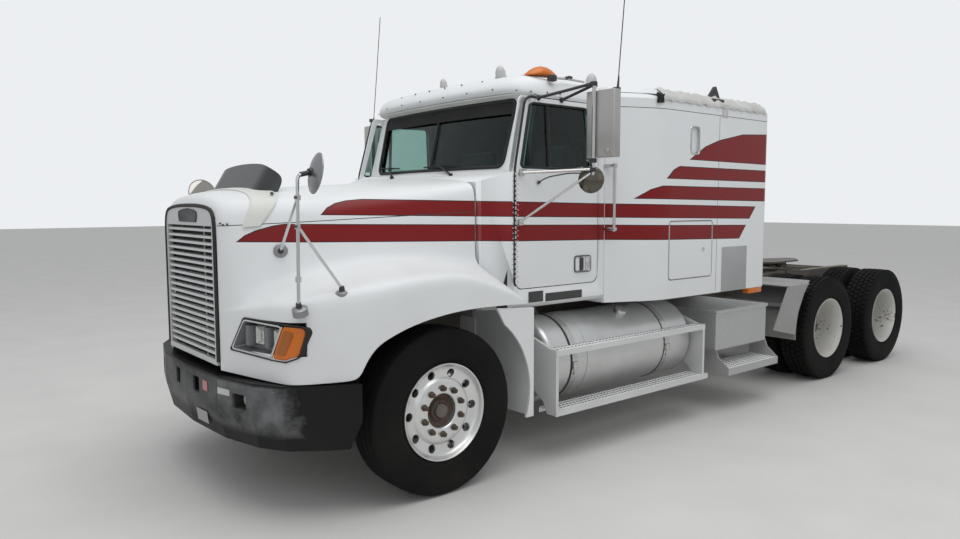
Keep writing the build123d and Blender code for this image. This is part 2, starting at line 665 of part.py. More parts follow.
def cab_section(inset):
    """Cross section of the cab: flat sides, slight lean above the belt, crowned roof."""
    x, low, high = CAB_X - inset, CAB_BOTTOM + inset, ROOF_TOP - inset
    belt, eave = 2010, 2520
    lines = [Line((-x + 25, low), (x - 25, low)), Line((x - 25, low), (x, low + 30)),
             Line((x, low + 30), (x, belt)), Line((x, belt), (x - 32, eave)),
             ThreePointArc((x - 32, eave), (x - 62, eave + 66 - inset / 2), (x - 130, eave + 104 - inset)),
             ThreePointArc((x - 130, eave + 104 - inset), (0, high), (-x + 130, eave + 104 - inset)),
             ThreePointArc((-x + 130, eave + 104 - inset), (-x + 62, eave + 66 - inset / 2),
                           (-x + 32, eave)),
             Line((-x + 32, eave), (-x, belt)), Line((-x, belt), (-x, low + 30)),
             Line((-x, low + 30), (-x + 25, low))]
    return make_face(Curve() + lines)


def cab_plan(inset):
    """Plan of the cab: firewall, cowl corners that widen to the doors, open rear."""
    back = CAB_REAR + (60 if inset > 0 else 0)
    rows = ((0, CAB_FRONT), (880, CAB_FRONT), (905, CAB_FRONT + 25), (CAB_X, 700), (CAB_X, back))
    half = [(max(x - inset, 0), y + inset if y < back else y) for x, y in rows]
    return outline([(-x, y) for x, y in reversed(half[1:])] + half)


def cab_side(inset):
    """Side view of the cab: firewall, cowl top, raked windshield, brow and roof."""
    back = CAB_REAR + (60 if inset > 0 else 0)
    cowl = [(y + inset, z - inset) for y, z in COWL_LINE]
    points = [(back, CAB_BOTTOM + inset), (CAB_FRONT + inset, CAB_BOTTOM + inset)] + cowl
    points += [(838 + inset, 2528), (752 + inset, 2548), (745 + inset, 2600), (800 + inset, 2650),
               (930 + inset, 2710), (back, 2710)]
    return outline(points)


def bent_across(sketch):
    """A side view swept across the cab on a wide arc, so the windshield and brow curve back."""
    middle = Axis((0, CAB_FRONT + CAB_ARC, 0), (0, 0, 1))
    half_turn = 14
    face = (Plane.YZ * sketch).rotate(middle, -half_turn)
    return revolve(face, middle, 2 * half_turn)


def cab_form(inset=0):
    """The cab as a solid, made smaller by the inset on every closed side."""
    body = along_y(cab_section(inset), CAB_FRONT - 50, CAB_REAR + (60 if inset > 0 else 0))
    body = body & along_z(cab_plan(inset), 1000, 2800)
    # The firewall and the cowl stay straight under the bent windshield
    low = CAB_BOTTOM + inset
    line = [(y + inset, z - inset) for y, z in COWL_LINE]
    cowl = outline([(line[-1][0], low), (line[0][0], low)] + line)
    return body & (bent_across(cab_side(inset)) + along_x(cowl, -1300, 1300))


def door_outline(shrink=0):
    """Side view of the door: upright front edge, raked pillar edge, rounded corners."""
    s = shrink
    points = [(686 + s, 1200 + s), (1510 - s, 1200 + s), (1510 - s, 2330), (1460 - s, 2503 - s),
              (812 + s, 2503 - s), (686 + s, 2005)]
    return outline(points, 60)


def door_window(shrink=0):
    """Side view of the door's glass opening."""
    s = shrink
    points = [(744 + s, 2022 + s), (1446 - s, 2022 + s), (1408 - s, 2458 - s), (852 + s, 2458 - s)]
    return outline(points, 22)


def windshield_opening(shrink=0):
    """Front view of the windshield opening with its rounded corners."""
    s = shrink
    points = [(-805 + s, 2030 + s), (805 - s, 2030 + s), (822 - s, 2506 - s), (-822 + s, 2506 - s)]
    return outline(points, 62)


def cab_core(inset):
    """The space between the cab's side walls, open to the front and rear."""
    return along_y(cab_section(inset), 300, 1700)


def cab_shell(form, hollow):
    """Cab: floor, firewall, cowl, pillars and roof with door and windshield openings."""
    shell = form - hollow
    # Seal flange behind the doors' edges, standing on the wall's inner face
    flange = along_x(door_outline(-14), -1300, 1300) - along_x(door_outline(22), -1300, 1300)
    shell += flange & (cab_core(CAB_WALL) - cab_core(CAB_WALL + SEAL_DEPTH))
    shell -= along_x(door_outline(), -1300, 1300) - cab_core(CAB_WALL + SEAT_GAP)
    shell -= along_y(windshield_opening(), 600, 1000)
    return first(shell)


def door(form):
    """Left door: the whole wall within the door opening, with the window cut."""
    wall = (form - cab_core(CAB_WALL)) & along_x(door_outline(DOOR_GAP), 800, 1200)
    wall -= along_x(door_window(), 800, 1200)
    return first(wall)


def sleeper_plan(inset=0):
    """Plan of the sleeper: sides that flare in a soft bend, then run straight to a rounded rear."""
    # Centre and radius of the left side's bend and of its rear corner
    bend = (SLEEPER_X - FLARE_R, FLARE_END, FLARE_R - inset)
    corner = (SLEEPER_X - REAR_R, SLEEPER_REAR - REAR_R, REAR_R - inset)
    start = on_circle(bend, FLARE_TURN)
    front = CAB_REAR + SEAT_GAP - (60 if inset else 0)
    root = (start[0] - (start[1] - front) * tan(radians(FLARE_TURN)), front)
    rear = on_circle(corner, -90)
    lines = [Line(root, start),
             ThreePointArc(start, on_circle(bend, FLARE_TURN / 2), on_circle(bend, 0)),
             Line(on_circle(bend, 0), on_circle(corner, 0)),
             ThreePointArc(on_circle(corner, 0), on_circle(corner, -45), rear)]
    other = [line.mirror(Plane.YZ) for line in lines]
    lines += [Line(rear, (-rear[0], rear[1])), Line((-root[0], front), root)]
    return make_face(Curve() + lines + other)


def sleeper_shell():
    """Sleeper box: floor, flared sides and rear wall, open to the cab, baggage doors cut."""
    floor = SLEEPER_BOTTOM + SLEEPER_WALL
    shell = along_z(sleeper_plan(), SLEEPER_BOTTOM, SLEEPER_SEAM)
    shell -= along_z(sleeper_plan(SLEEPER_WALL), floor, SLEEPER_SEAM + 1)
    opening = along_x(baggage_outline(), 1000, 1300)
    inner = SLEEPER_X - SLEEPER_WALL
    seal = along_x(baggage_outline(-14), inner - SEAL_DEPTH, inner)
    seal -= along_x(baggage_outline(22), inner - SEAL_DEPTH, inner)
    seal -= along_x(baggage_outline(), inner - SEAT_GAP, inner)
    shell = shell - opening - mirrored(opening) + seal + mirrored(seal)
    vent = along_x(outline([(2370, 2165), (2490, 2165), (2490, 2385), (2370, 2385)], 25), 1190, 1300)
    return first(shell - vent - mirrored(vent))


def roof_cap():
    """Sleeper roof: a shallow cap with rounded upper edges, seated on the box."""
    base = along_z(sleeper_plan(), SLEEPER_SEAM + SEAT_GAP, 2560)
    cap = base + along_z(sleeper_plan(), 2560, 2640, ROOF_TAPER)
    inside = along_z(sleeper_plan(SLEEPER_WALL), SLEEPER_SEAM, 2540)
    return first(cap - inside)


def baggage_outline(shrink=0):
    """Side view of the baggage door with its rounded corners."""
    s = shrink
    points = [(2110 + s, 1182 + s), (2700 - s, 1182 + s), (2700 - s, 1645 - s), (2110 + s, 1645 - s)]
    return outline(points, 32)


def baggage_door():
    """Left baggage door, as thick as the sleeper's wall."""
    x0, x1 = SLEEPER_X - SLEEPER_WALL, SLEEPER_X
    return along_x(baggage_outline(DOOR_GAP), x0, x1)


def windshield():
    """Two curved panes with a narrow post gap between them, set inside the wall."""
    skin = cab_form(GLASS_DEPTH) - cab_form(GLASS_DEPTH + GLASS_THICK)
    pane = skin & along_y(windshield_opening(SEAT_GAP), 600, 1000)
    post = 9
    left = first(pane & block(post, 900, 600, 1000, 1900, 2600))
    return left, mirrored(left)


def door_glass():
    """Left door glass, set inside the door's wall."""
    skin = cab_core(GLASS_DEPTH) - cab_core(GLASS_DEPTH + GLASS_THICK)
    return first(skin & along_x(door_window(SEAT_GAP), 800, 1200))


def dashboard():
    """Dashboard across the cab, on the firewall, with a raised wrap on the driver's side."""
    y0 = CAB_FRONT
    side = outline([(y0, 1480), (900, 1480), (960, 1560), (930, 1830), (840, 1885), (y0, 1845)])
    body = along_x(side, -800, 800)
    wrap = outline([(y0, 1480), (930, 1480), (1000, 1580), (960, 1870), (860, 1915), (y0, 1860)])
    body += along_x(wrap, 180, 780)
    return first(body & cab_form(CAB_WALL + SEAT_GAP))


def steering_wheel(panel):
    """Steering column and wheel, leaning back from the dashboard."""
    x = 480
    foot, hub = Vector(x, 955, 1627), Vector(x, 1140, 1790)
    run = (hub - foot).normalized()
    ring_r = 215
    section = outline([(ring_r - 14, -14), (ring_r + 14, -14), (ring_r + 14, 14), (ring_r - 14, 14)], 9)
    wheel = revolve(Plane.XZ * section, Axis.Z, 360) + Cylinder(50, 30)
    for turn in (90, 210, 330):
        wheel += Rot(0, 0, turn) * Pos(ring_r / 2, 0, 0) * Box(ring_r - 12, 30, 10)
    placed = Plane(origin=hub, z_dir=run).location * first(wheel)
    return first(fuse(rod(tuple(foot), tuple(hub), 26), placed) - panel)


def seat(x):
    """Air-ride seat: pedestal, cushion, tall back."""
    floor = CAB_BOTTOM + CAB_WALL
    body = block(x - 170, x + 170, 1180, 1480, floor, 1430)
    cushion = outline([(1090, 1430), (1560, 1430), (1560, 1570), (1090, 1570)], 45)
    back = outline([(1470, 1540), (1590, 1540), (1690, 2240), (1590, 2260)], 30)
    body += along_x(cushion, x - 250, x + 250)
    body += along_x(back, x - 240, x + 240)
    return first(body)


def door_mirror():
    """Left door mirror: arms from the door, tall mirror case, round convex mirror, aerial."""
    wall = CAB_X + 1
    post_x, post_y = 1378, 1075
    case = along_z(outline([(1292, 1065), (1566, 1065), (1550, 1140), (1308, 1140)], 14), 2080, 2512)
    body = case + rod((post_x, post_y - 22, 1960), (post_x, post_y - 22, 2560), 13)
    # arm: start on the door, end on the post
    arms = (((CAB_X - 30, 924, 2492), (post_x, post_y - 22, 2548)),
            ((CAB_X - 30, 1147, 2492), (post_x, post_y - 22, 2540)),
            ((wall, 735, 1984), (post_x, post_y - 22, 1992)),
            ((wall, 728, 1660), (post_x, post_y - 22, 1985)))
    for start, end in arms:
        body += rod(start, end, 10)
    convex = rod((post_x - 20, post_y - 40, 1934), (post_x - 20, post_y + 10, 1934), 93)
    body += convex
    body += rod((1480, 1120, 2500), (1500, 1150, 2530), 14)
    body += rod((1500, 1150, 2515), (1500, 1240, 3550), 4)
    body -= cab_form(-SEAT_GAP)
    return first(body)


def fuel_tank():
    """Left fuel tank: a round shell with domed ends and two straps on frame brackets."""
    y0, y1 = TANK_Y0, TANK_Y1
    rise = 28
    half = [Line((0, y0), (TANK_R - 40, y0 + rise - 14)),
            ThreePointArc((TANK_R - 40, y0 + rise - 14), (TANK_R - 10, y0 + rise - 2), (TANK_R, y0 + rise + 26)),
            Line((TANK_R, y0 + rise + 26), (TANK_R, y1 - rise - 26)),
            ThreePointArc((TANK_R, y1 - rise - 26), (TANK_R - 10, y1 - rise + 2), (TANK_R - 40, y1 - rise + 14)),
            Line((TANK_R - 40, y1 - rise + 14), (0, y1)), Line((0, y1), (0, y0))]
    shell = revolve(make_face(Curve() + half), Axis.Y, 360)
    body = Pos(TANK_X, 0, TANK_Z) * first(shell)
    for y in (1320, 2230):
        band = rod((TANK_X, y, TANK_Z), (TANK_X, y + 70, TANK_Z), TANK_R + 4)
        bracket = outline([(RAIL_X + SEAT_GAP, 720), (RAIL_X + SEAT_GAP, 985), (470, 985),
                           (TANK_X - 200, TANK_Z + 190), (TANK_X - 200, TANK_Z - 290), (470, 640)])
        body += band + along_y(bracket, y, y + 70)
    return first(body)


def tread_step(x0, x1, y0, y1, z1, depth):
    """A grip-strut step: folded edges and a row of cut slots."""
    wall = 6
    body = block(x0, x1, y0, y1, z1 - wall, z1)
    for x in (x0, x1 - wall):
        body += block(x, x + wall, y0, y1, z1 - depth, z1)
    count = max(3, int((y1 - y0) / 130))
    pitch = (y1 - y0) / count
    for index in range(count):
        y = y0 + pitch * (index + 0.5)
        body -= block(x0 + 18, x1 - 18, y - pitch * 0.32, y + pitch * 0.32, z1 - wall - 1, z1 + 1)
    return body


def tank_steps():
    """Left cab steps: an upper and a lower tread outside the tank on three hangers."""
    y0, y1, plate_wall = TANK_Y0 - 35, TANK_Y1 + 30, 26
    body = tread_step(1098, STEP_X, y0, y1, 782, 34) + tread_step(1040, STEP_X, y0, y1 + 50, 372, 40)
    # Hangers: bent plates from the rail over the tank's end or beside a strap
    for y in (y0, y1 - plate_wall):
        plate = outline([(RAIL_X + SEAT_GAP, 740), (RAIL_X + SEAT_GAP, 960), (620, 960), (1150, 790),
                         (1206, 790), (1206, 335), (1120, 335), (1080, 420), (620, 700)])
        body += along_y(plate, y, y + plate_wall)
    return first(body)


def battery_box():
    """Left battery box with a tread-plate lid, and the step that hangs below it."""
    x0, x1, y0, y1 = RAIL_X + SEAT_GAP, 1165, 2850, 3650
    body = block(x0 + 40, x1, y0, y1, 535, 845)
    body += block(x0 + 30, x1 + 12, y0 - 10, y1 + 10, 845, 872)
    body += block(x0, x0 + 40, y0 + 100, y1 - 100, 745, 870)
    body += tread_step(985, 1268, 2900, 3700, 385, 60)
    for y in (2900, 3692):
        wing = outline([(985, 330), (1268, 330), (1268, 385), (1165, 470), (1130, 560), (985, 560)])
        body += along_y(wing, y, y + 8)
    body += block(985, 1130, y0 + 50, y1 - 5, 520, 545)
    return first(body)


def quarter_fender():
    """Left quarter fender: a curved plate ahead of the forward drive wheels."""
    radius = 672
    centre = AXLE_1
    start, end = radians(130), radians(184)
    outer = [(centre + radius * cos(a), AXLE_Z + radius * sin(a)) for a in (start, (start + end) / 2, end)]
    inner = [(centre + (radius - 10) * cos(a), AXLE_Z + (radius - 10) * sin(a))
             for a in (end, (start + end) / 2, start)]
    arc0, arc1 = ThreePointArc(*outer), ThreePointArc(*inner)
    band = make_face(Curve() + [arc0, Line(arc0 @ 1, arc1 @ 0), arc1, Line(arc1 @ 1, arc0 @ 0)])
    body = along_x(band, 470, 1190)
    shelf = block(RAIL_X + SEAT_GAP, 1190, 4020, 4400, RAIL_TOP - 10, RAIL_TOP)
    panel = outline([(3760, 610), (4150, 525), (4180, 700), (4300, 905), (4380, 992), (4000, 992)])
    body += along_x(panel, 1178, 1190)
    arm = block(RAIL_X + SEAT_GAP, 1180, 4120, 4160, 780, 820)
    body += shelf + arm
    return first(body)


def fifth_wheel_base():
    """Fifth wheel mounting: base plate on the rails and two side brackets with pivot ears."""
    top = RAIL_TOP + SEAT_GAP
    body = block(-RAIL_X, RAIL_X, FIFTH_Y - 330, FIFTH_Y + 330, top, top + 14)
    for side in (-1, 1):
        x = side * 392
        ear = outline([(FIFTH_Y - 130, top + 10), (FIFTH_Y + 130, top + 10), (FIFTH_Y + 40, FIFTH_PIVOT_Z + 26),
                       (FIFTH_Y - 40, FIFTH_PIVOT_Z + 26)])
        body += along_x(ear, x - 18, x + 18)
        body -= disc(x - 20, x + 20, FIFTH_Y, FIFTH_PIVOT_Z, 16 + RUNNING_FIT)
    return first(body)


def fifth_wheel_plate():
    """Fifth wheel plate: wide top with a V throat, kingpin hole, skirts and pivot pins."""
    y0, y1 = FIFTH_Y - 400, FIFTH_Y + 480
    half = FIFTH_HALF
    plan = outline([(-half, y0 + 120), (-half + 110, y0), (half - 110, y0), (half, y0 + 120),
                    (half, FIFTH_Y + 250), (300, y1), (190, y1), (KINGPIN_HOLE_R, FIFTH_Y + 60),
                    (KINGPIN_HOLE_R, FIFTH_Y), (-KINGPIN_HOLE_R, FIFTH_Y),
                    (-KINGPIN_HOLE_R, FIFTH_Y + 60), (-190, y1), (-300, y1), (-half, FIFTH_Y + 250)])
    plate = along_z(plan, FIFTH_TOP - 16, FIFTH_TOP)
    plate -= rod((0, FIFTH_Y, FIFTH_TOP - 80), (0, FIFTH_Y, FIFTH_TOP + 1), KINGPIN_HOLE_R)
    lower = along_z(outline([(-330, y0 + 60), (330, y0 + 60), (330, FIFTH_Y + 200), (150, FIFTH_Y + 200),
                             (KINGPIN_HOLE_R, FIFTH_Y + 40), (KINGPIN_HOLE_R, FIFTH_Y),
                             (-KINGPIN_HOLE_R, FIFTH_Y), (-KINGPIN_HOLE_R, FIFTH_Y + 40),
                             (-150, FIFTH_Y + 200),
                             (-330, FIFTH_Y + 200)]), FIFTH_TOP - 50, FIFTH_TOP - 15)
    lower -= rod((0, FIFTH_Y, FIFTH_TOP - 80), (0, FIFTH_Y, FIFTH_TOP + 1), KINGPIN_HOLE_R)
    body = plate + lower
    for side in (-1, 1):
        inner = side * 360
        cheek = outline([(FIFTH_Y - 90, FIFTH_TOP - 10), (FIFTH_Y + 90, FIFTH_TOP - 10),
                         (FIFTH_Y + 34, FIFTH_PIVOT_Z - 30), (FIFTH_Y - 34, FIFTH_PIVOT_Z - 30)])
        body += along_x(cheek, inner - 12, inner + 12)
        body += disc(side * 360, side * 408, FIFTH_Y, FIFTH_PIVOT_Z, 16)
    return first(body)


def deck_plate():
    """Walkway plate on the rails behind the sleeper."""
    body = block(-RAIL_X, RAIL_X, 3640, 4420, RAIL_TOP + SEAT_GAP, RAIL_TOP + 8)
    for index in range(9):
        y = 3700 + index * 75
        body -= block(-300, -60, y, y + 38, RAIL_TOP - 5, RAIL_TOP + 20)
        body -= block(60, 300, y, y + 38, RAIL_TOP - 5, RAIL_TOP + 20)
    return first(body)


def fender_extension():
    """Left splash panel behind the front wheel, curved to the tyre, fixed to the steps' frame."""
    outer = [(566, 1122), (705, 1100), (705, 372), (640, 372)]
    curve = ThreePointArc((640, 372), (668, 640), (452, 1010))
    lines = [Line((452, 1010), (385, 1122)), Line((385, 1122), outer[1]), Line(outer[1], outer[2]),
             Line(outer[2], outer[3]), curve]
    side = along_x(make_face(Curve() + lines), 1168, 1186)
    back = block(560, 1186, 690, 705, 372, 1050)
    arm = block(RAIL_X + SEAT_GAP, 600, 680, 700, 780, 960)
    return first(side + back + arm)


form = cab_form()
hollow = cab_form(CAB_WALL)

save("frame_rails", frame_rails())
save("front_bumper", front_bumper())
save("front_axle", axle_beam())
spring = leaf_spring()
save("front_springs", spring, mirrored(spring))
save("drive_axles", drive_axle(AXLE_1), drive_axle(AXLE_2))
arms = [trailing_arm(AXLE_1), trailing_arm(AXLE_2)]
save("rear_suspension", *arms, *[mirrored(arm) for arm in arms])
save("drive_shafts", *drive_shafts())
save("engine", engine())
save("radiator", radiator())
tank = fuel_tank()
steps = tank_steps()
save("fuel_tank_left", tank)
save("fuel_tank_right", mirrored(tank))
save("tank_steps_left", steps)
save("tank_steps_right", mirrored(steps))
save("battery_box", battery_box())
quarter = quarter_fender()
save("quarter_fenders", quarter, mirrored(quarter))
save("deck_plate", deck_plate())
save("fifth_wheel_base", fifth_wheel_base())
save("fifth_wheel_plate", fifth_wheel_plate())
extension = fender_extension()
save("fender_extensions", extension, mirrored(extension))

save("cab_shell", cab_shell(form, hollow))
save("sleeper_shell", sleeper_shell())
save("roof_cap", roof_cap())
save("windshield", *windshield())
panel = dashboard()
save("dashboard", panel)
save("steering_wheel", steering_wheel(panel))
save("seats", seat(480), seat(-480))

save("hood", hood())
save("grille", grille())
lamp = headlamp()
save("headlights", lamp, mirrored(lamp))
save("bug_deflector", bug_deflector())
guide = hood_mirror((1085, -905, 1930), (1085, -804, 1943), (0.16, 0.97, -0.17))
leaned = hood_mirror((1088, -752, 1836), (1088, -642, 1862), (-0.92, 0.1, 0.3))
save("hood_mirrors", guide, mirrored(leaned))

pieces = (("door", door(form)), ("door_glass", door_glass()), ("mirror", door_mirror()),
          ("baggage_door", baggage_door()), ("knuckle", knuckle()), ("front_rim", front_wheel()),
          ("front_tyre", tyre(FRONT_WHEEL_X, 16)))
for name, piece in pieces:
    save(name + "_left", piece)
    save(name + "_right", mirrored(piece))
save("tie_rod", tie_rod())

rims = dual_wheel()
tyres = [tyre(DUAL_OUTER_X, 16), tyre(DUAL_INNER_X, 16)]
for number, y in ((1, AXLE_1), (2, AXLE_2)):
    save(f"dual_rims_left_{number}", Pos(0, y, 0) * rims)
    save(f"dual_rims_right_{number}", mirrored(Pos(0, y, 0) * rims))
    save(f"dual_tyres_left_{number}", *[Pos(0, y, 0) * piece for piece in tyres])
    save(f"dual_tyres_right_{number}", *[mirrored(Pos(0, y, 0) * piece) for piece in tyres])
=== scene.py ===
from functools import partialmethod
from math import cos, pi, radians, sin, sqrt

import bmesh
import bpy
from mathutils import Matrix, Vector


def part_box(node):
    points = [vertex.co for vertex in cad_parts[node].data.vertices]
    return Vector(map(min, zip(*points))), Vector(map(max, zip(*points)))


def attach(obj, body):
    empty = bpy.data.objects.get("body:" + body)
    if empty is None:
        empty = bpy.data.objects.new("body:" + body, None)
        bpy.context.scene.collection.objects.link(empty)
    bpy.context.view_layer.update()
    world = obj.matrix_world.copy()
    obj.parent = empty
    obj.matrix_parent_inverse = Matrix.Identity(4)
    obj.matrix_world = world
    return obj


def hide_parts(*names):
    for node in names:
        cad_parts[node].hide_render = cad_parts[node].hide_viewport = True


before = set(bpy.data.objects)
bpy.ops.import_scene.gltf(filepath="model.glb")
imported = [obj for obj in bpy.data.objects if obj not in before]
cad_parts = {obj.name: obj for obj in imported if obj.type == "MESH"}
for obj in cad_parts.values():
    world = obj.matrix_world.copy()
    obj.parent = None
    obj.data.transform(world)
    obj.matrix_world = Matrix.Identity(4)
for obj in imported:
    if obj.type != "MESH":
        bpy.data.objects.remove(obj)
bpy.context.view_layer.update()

# The view. A tall person stands off the truck's left front corner, on the road side,
# and looks at the cab with a normal wide lens. Lengths along the truck are told from
# the front axle, as a mechanic tells them, and AXLE_Y moves them into the frame.
scene = bpy.context.scene
scene.view_settings.view_transform = "Standard"
axle_low, axle_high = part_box("front_axle")
AXLE_Y = (axle_low.y + axle_high.y) / 2
EYE = Vector((4.701, AXLE_Y - 2.661, 1.778))
EYE_TURN, EYE_TILT, EYE_ROLL = radians(50.42), radians(-5.03), radians(-0.12)
camera = bpy.data.objects.new("camera", bpy.data.cameras.new("camera"))
camera.data.lens = 27.92
camera.data.sensor_width = 36
look = Matrix.Rotation(EYE_TURN, 4, "Z") @ Matrix.Rotation(pi / 2 + EYE_TILT, 4, "X")
camera.matrix_world = Matrix.Translation(EYE) @ look @ Matrix.Rotation(EYE_ROLL, 4, "Z")
scene.collection.objects.link(camera)
scene.camera = camera


class Field:
    """A value that varies over a surface: a shader socket that takes part in plain sums."""

    def __init__(self, tree, socket):
        self.tree, self.socket = tree, socket

    def on(self, operation, *others):
        """The result of one sum on this value and others."""
        return maths(self.tree, operation, self, *others)

    __add__ = partialmethod(on, "ADD")
    __sub__ = partialmethod(on, "SUBTRACT")
    __mul__ = partialmethod(on, "MULTIPLY")
    __truediv__ = partialmethod(on, "DIVIDE")
    __abs__ = partialmethod(on, "ABSOLUTE")
    above = partialmethod(on, "GREATER_THAN")
    below = partialmethod(on, "LESS_THAN")
    least = partialmethod(on, "MINIMUM")
    most = partialmethod(on, "MAXIMUM")

    def __rsub__(self, other):
        return maths(self.tree, "SUBTRACT", other, self)


def wire(tree, sockets, values):
    """Set each named socket to a plain value, or connect it."""
    for key, value in dict(values).items():
        if isinstance(value, Field):
            value = value.socket
        if isinstance(value, bpy.types.NodeSocket):
            tree.links.new(value, sockets[key])
        else:
            sockets[key].default_value = value


def node(tree, kind, inputs=(), **settings):
    """One shader node with its settings, its plain values and what is wired into it."""
    made = tree.nodes.new("ShaderNode" + kind)
    for key, value in settings.items():
        setattr(made, key, value)
    wire(tree, made.inputs, inputs)
    return made


def field(tree, kind, inputs=(), out=0, **settings):
    """One result of a shader node, ready for sums."""
    return Field(tree, node(tree, kind, inputs, **settings).outputs[out])


def maths(tree, operation, *values):
    """The result of one sum on numbers, sockets or fields."""
    return field(tree, "Math", enumerate(values), operation=operation)


def clamped(value):
    """A field kept between nought and one."""
    return field(value.tree, "Clamp", {0: value})


def picked(factor, first, second):
    """Two numbers mixed by a field."""
    return field(factor.tree, "Mix", {0: factor, 2: first, 3: second})


def tint(tree, factor, first, second, blend="MIX"):
    """Two colours mixed by a factor."""
    return field(tree, "Mix", {0: factor, 6: first, 7: second}, 2, data_type="RGBA", blend_type=blend)


def on_object(tree, kind="Object"):
    """A point of the surface in the object's own space, or its normal there."""
    return node(tree, "TexCoord").outputs[kind]


def split(tree, kind="Object"):
    """The same point or normal as its three numbers."""
    return [Field(tree, socket) for socket in node(tree, "SeparateXYZ", {0: on_object(tree, kind)}).outputs]


def noise(tree, spot, scale, detail=2.0, roughness=0.5):
    """Soft cloudy noise between nought and one."""
    settings = {"Vector": spot, "Scale": scale, "Detail": detail, "Roughness": roughness}
    return field(tree, "TexNoise", settings, "Fac")


def blank(name):
    """A new material, its tree and its shader's inputs."""
    material = bpy.data.materials.new(name)
    material.use_nodes = True
    return material, material.node_tree, material.node_tree.nodes["Principled BSDF"].inputs


def linked(name, data):
    """A new object, placed in the scene."""
    made = bpy.data.objects.new(name, data)
    scene.collection.objects.link(made)
    return made


def as_mesh(name, shape):
    """A bmesh turned into a mesh."""
    data = bpy.data.meshes.new(name)
    shape.to_mesh(data)
    shape.free()
    return data


# The floor and the light. A pale concrete floor, a wide soft light overhead and a
# weaker one from the road side, under an even pale sky.
FLOOR_HALF = 60
SKY = (0.84, 0.86, 0.88, 1)
# How bright the sky is where it lights the truck, and how much brighter where it is seen
SKY_LIGHT, SKY_SEEN = 0.72, 0.28
grid = bmesh.new()
bmesh.ops.create_grid(grid, x_segments=1, y_segments=1, size=FLOOR_HALF)
floor = linked("floor", as_mesh("floor", grid))
concrete, tree, inputs = blank("pale_concrete")
spots = noise(tree, on_object(tree), 1.7, 8)
shown = tint(tree, spots, (0.60, 0.59, 0.575, 1), (0.70, 0.69, 0.67, 1))
wire(tree, inputs, {"Base Color": shown, "Roughness": 0.85})
floor.data.materials.append(concrete)

world = bpy.data.worlds.new("pale_sky")
world.use_nodes = True
tree = world.node_tree
path = node(tree, "LightPath").outputs
seen = Field(tree, path["Is Camera Ray"]).most(path["Is Transmission Ray"])
wire(tree, tree.nodes["Background"].inputs, {"Color": SKY, "Strength": seen * SKY_SEEN + SKY_LIGHT})
scene.world = world
# name, place, size, power, target
lamps = (("sky_light", (2.0, AXLE_Y + 0.2, 9.0), 9.0, 400, (0, AXLE_Y + 1.5, 0.8)),
         ("road_light", (9.0, AXLE_Y - 5.0, 4.5), 5.0, 22, (0, AXLE_Y + 1.0, 1.2)))
for name, place, size, power, target in lamps:
    lamp = bpy.data.lights.new(name, "AREA")
    lamp.size = size
    lamp.energy = power
    hung = linked(name, lamp)
    hung.location = place
    hung.rotation_euler = (Vector(target) - Vector(place)).to_track_quat("-Z", "Y").to_euler()


# Road dirt, rust and age. These effects lie on every painted and bare surface of a truck
# that has stood outside: pale dust that thickens towards the wheels, flecks of rust and
# a slow change of tone.
def effect(name, inputs, outputs):
    """An empty group of nodes with named sockets, each with its resting value."""
    made = bpy.data.node_groups.new(name, "ShaderNodeTree")
    for label, value in inputs:
        socket = made.interface.new_socket(label, in_out="INPUT", socket_type="NodeSocketFloat")
        socket.default_value = value
    for label in outputs:
        made.interface.new_socket(label, in_out="OUTPUT", socket_type="NodeSocketFloat")
    given = made.nodes.new("NodeGroupInput").outputs
    fields = {label: Field(made, given[label]) for label, value in inputs}
    return made, fields, made.nodes.new("NodeGroupOutput").inputs


dust_fall, given, result = effect("dust_fall", (("Top", 1.2), ("Amount", 0.5)), ("Mask",))
height, upward = split(dust_fall)[2], split(dust_fall, "Normal")[2]
low = ((given["Top"] - height) / given["Top"]).most(0.0)
flat = (upward - 0.5).most(0.0) * 0.7
patchy = (low + flat) * (noise(dust_fall, on_object(dust_fall), 3.1, 7) * 2.4 - 0.4)
wire(dust_fall, result, {"Mask": clamped(patchy * given["Amount"])})

rust_fleck, given, result = effect("rust_fleck", (("Scale", 20.0), ("Cover", 0.3)), ("Mask",))
spot = on_object(rust_fleck)
grains = noise(rust_fleck, spot, 2.6) * 0.5 + noise(rust_fleck, spot, given["Scale"], 9, 0.62)
wire(rust_fleck, result, {"Mask": clamped((grains - (1.12 - given["Cover"] * 0.6)) * 18.0)})

mottle, given, result = effect("mottle", (("Scale", 4.0), ("Spread", 0.1)), ("Tone", "Grain"))
spot = on_object(mottle)
swing = (noise(mottle, spot, given["Scale"], 6) - 0.5) * (given["Spread"] * 2)
wire(mottle, result, {"Tone": swing + 1.0, "Grain": noise(mottle, spot, 260.0, 3)})

DUST_TONE = (0.33, 0.285, 0.225, 1)
RUST_TONE = (0.085, 0.038, 0.022, 1)


def group_in(tree, effect_tree, **values):
    """An effect placed in a material."""
    placed = node(tree, "Group", node_tree=effect_tree)
    wire(tree, placed.inputs, values)
    return {socket.name: Field(tree, socket) for socket in placed.outputs}


def bumped(tree, height, strength, distance):
    """A surface normal raised by a field."""
    return field(tree, "Bump", {"Height": height, "Strength": strength, "Distance": distance})


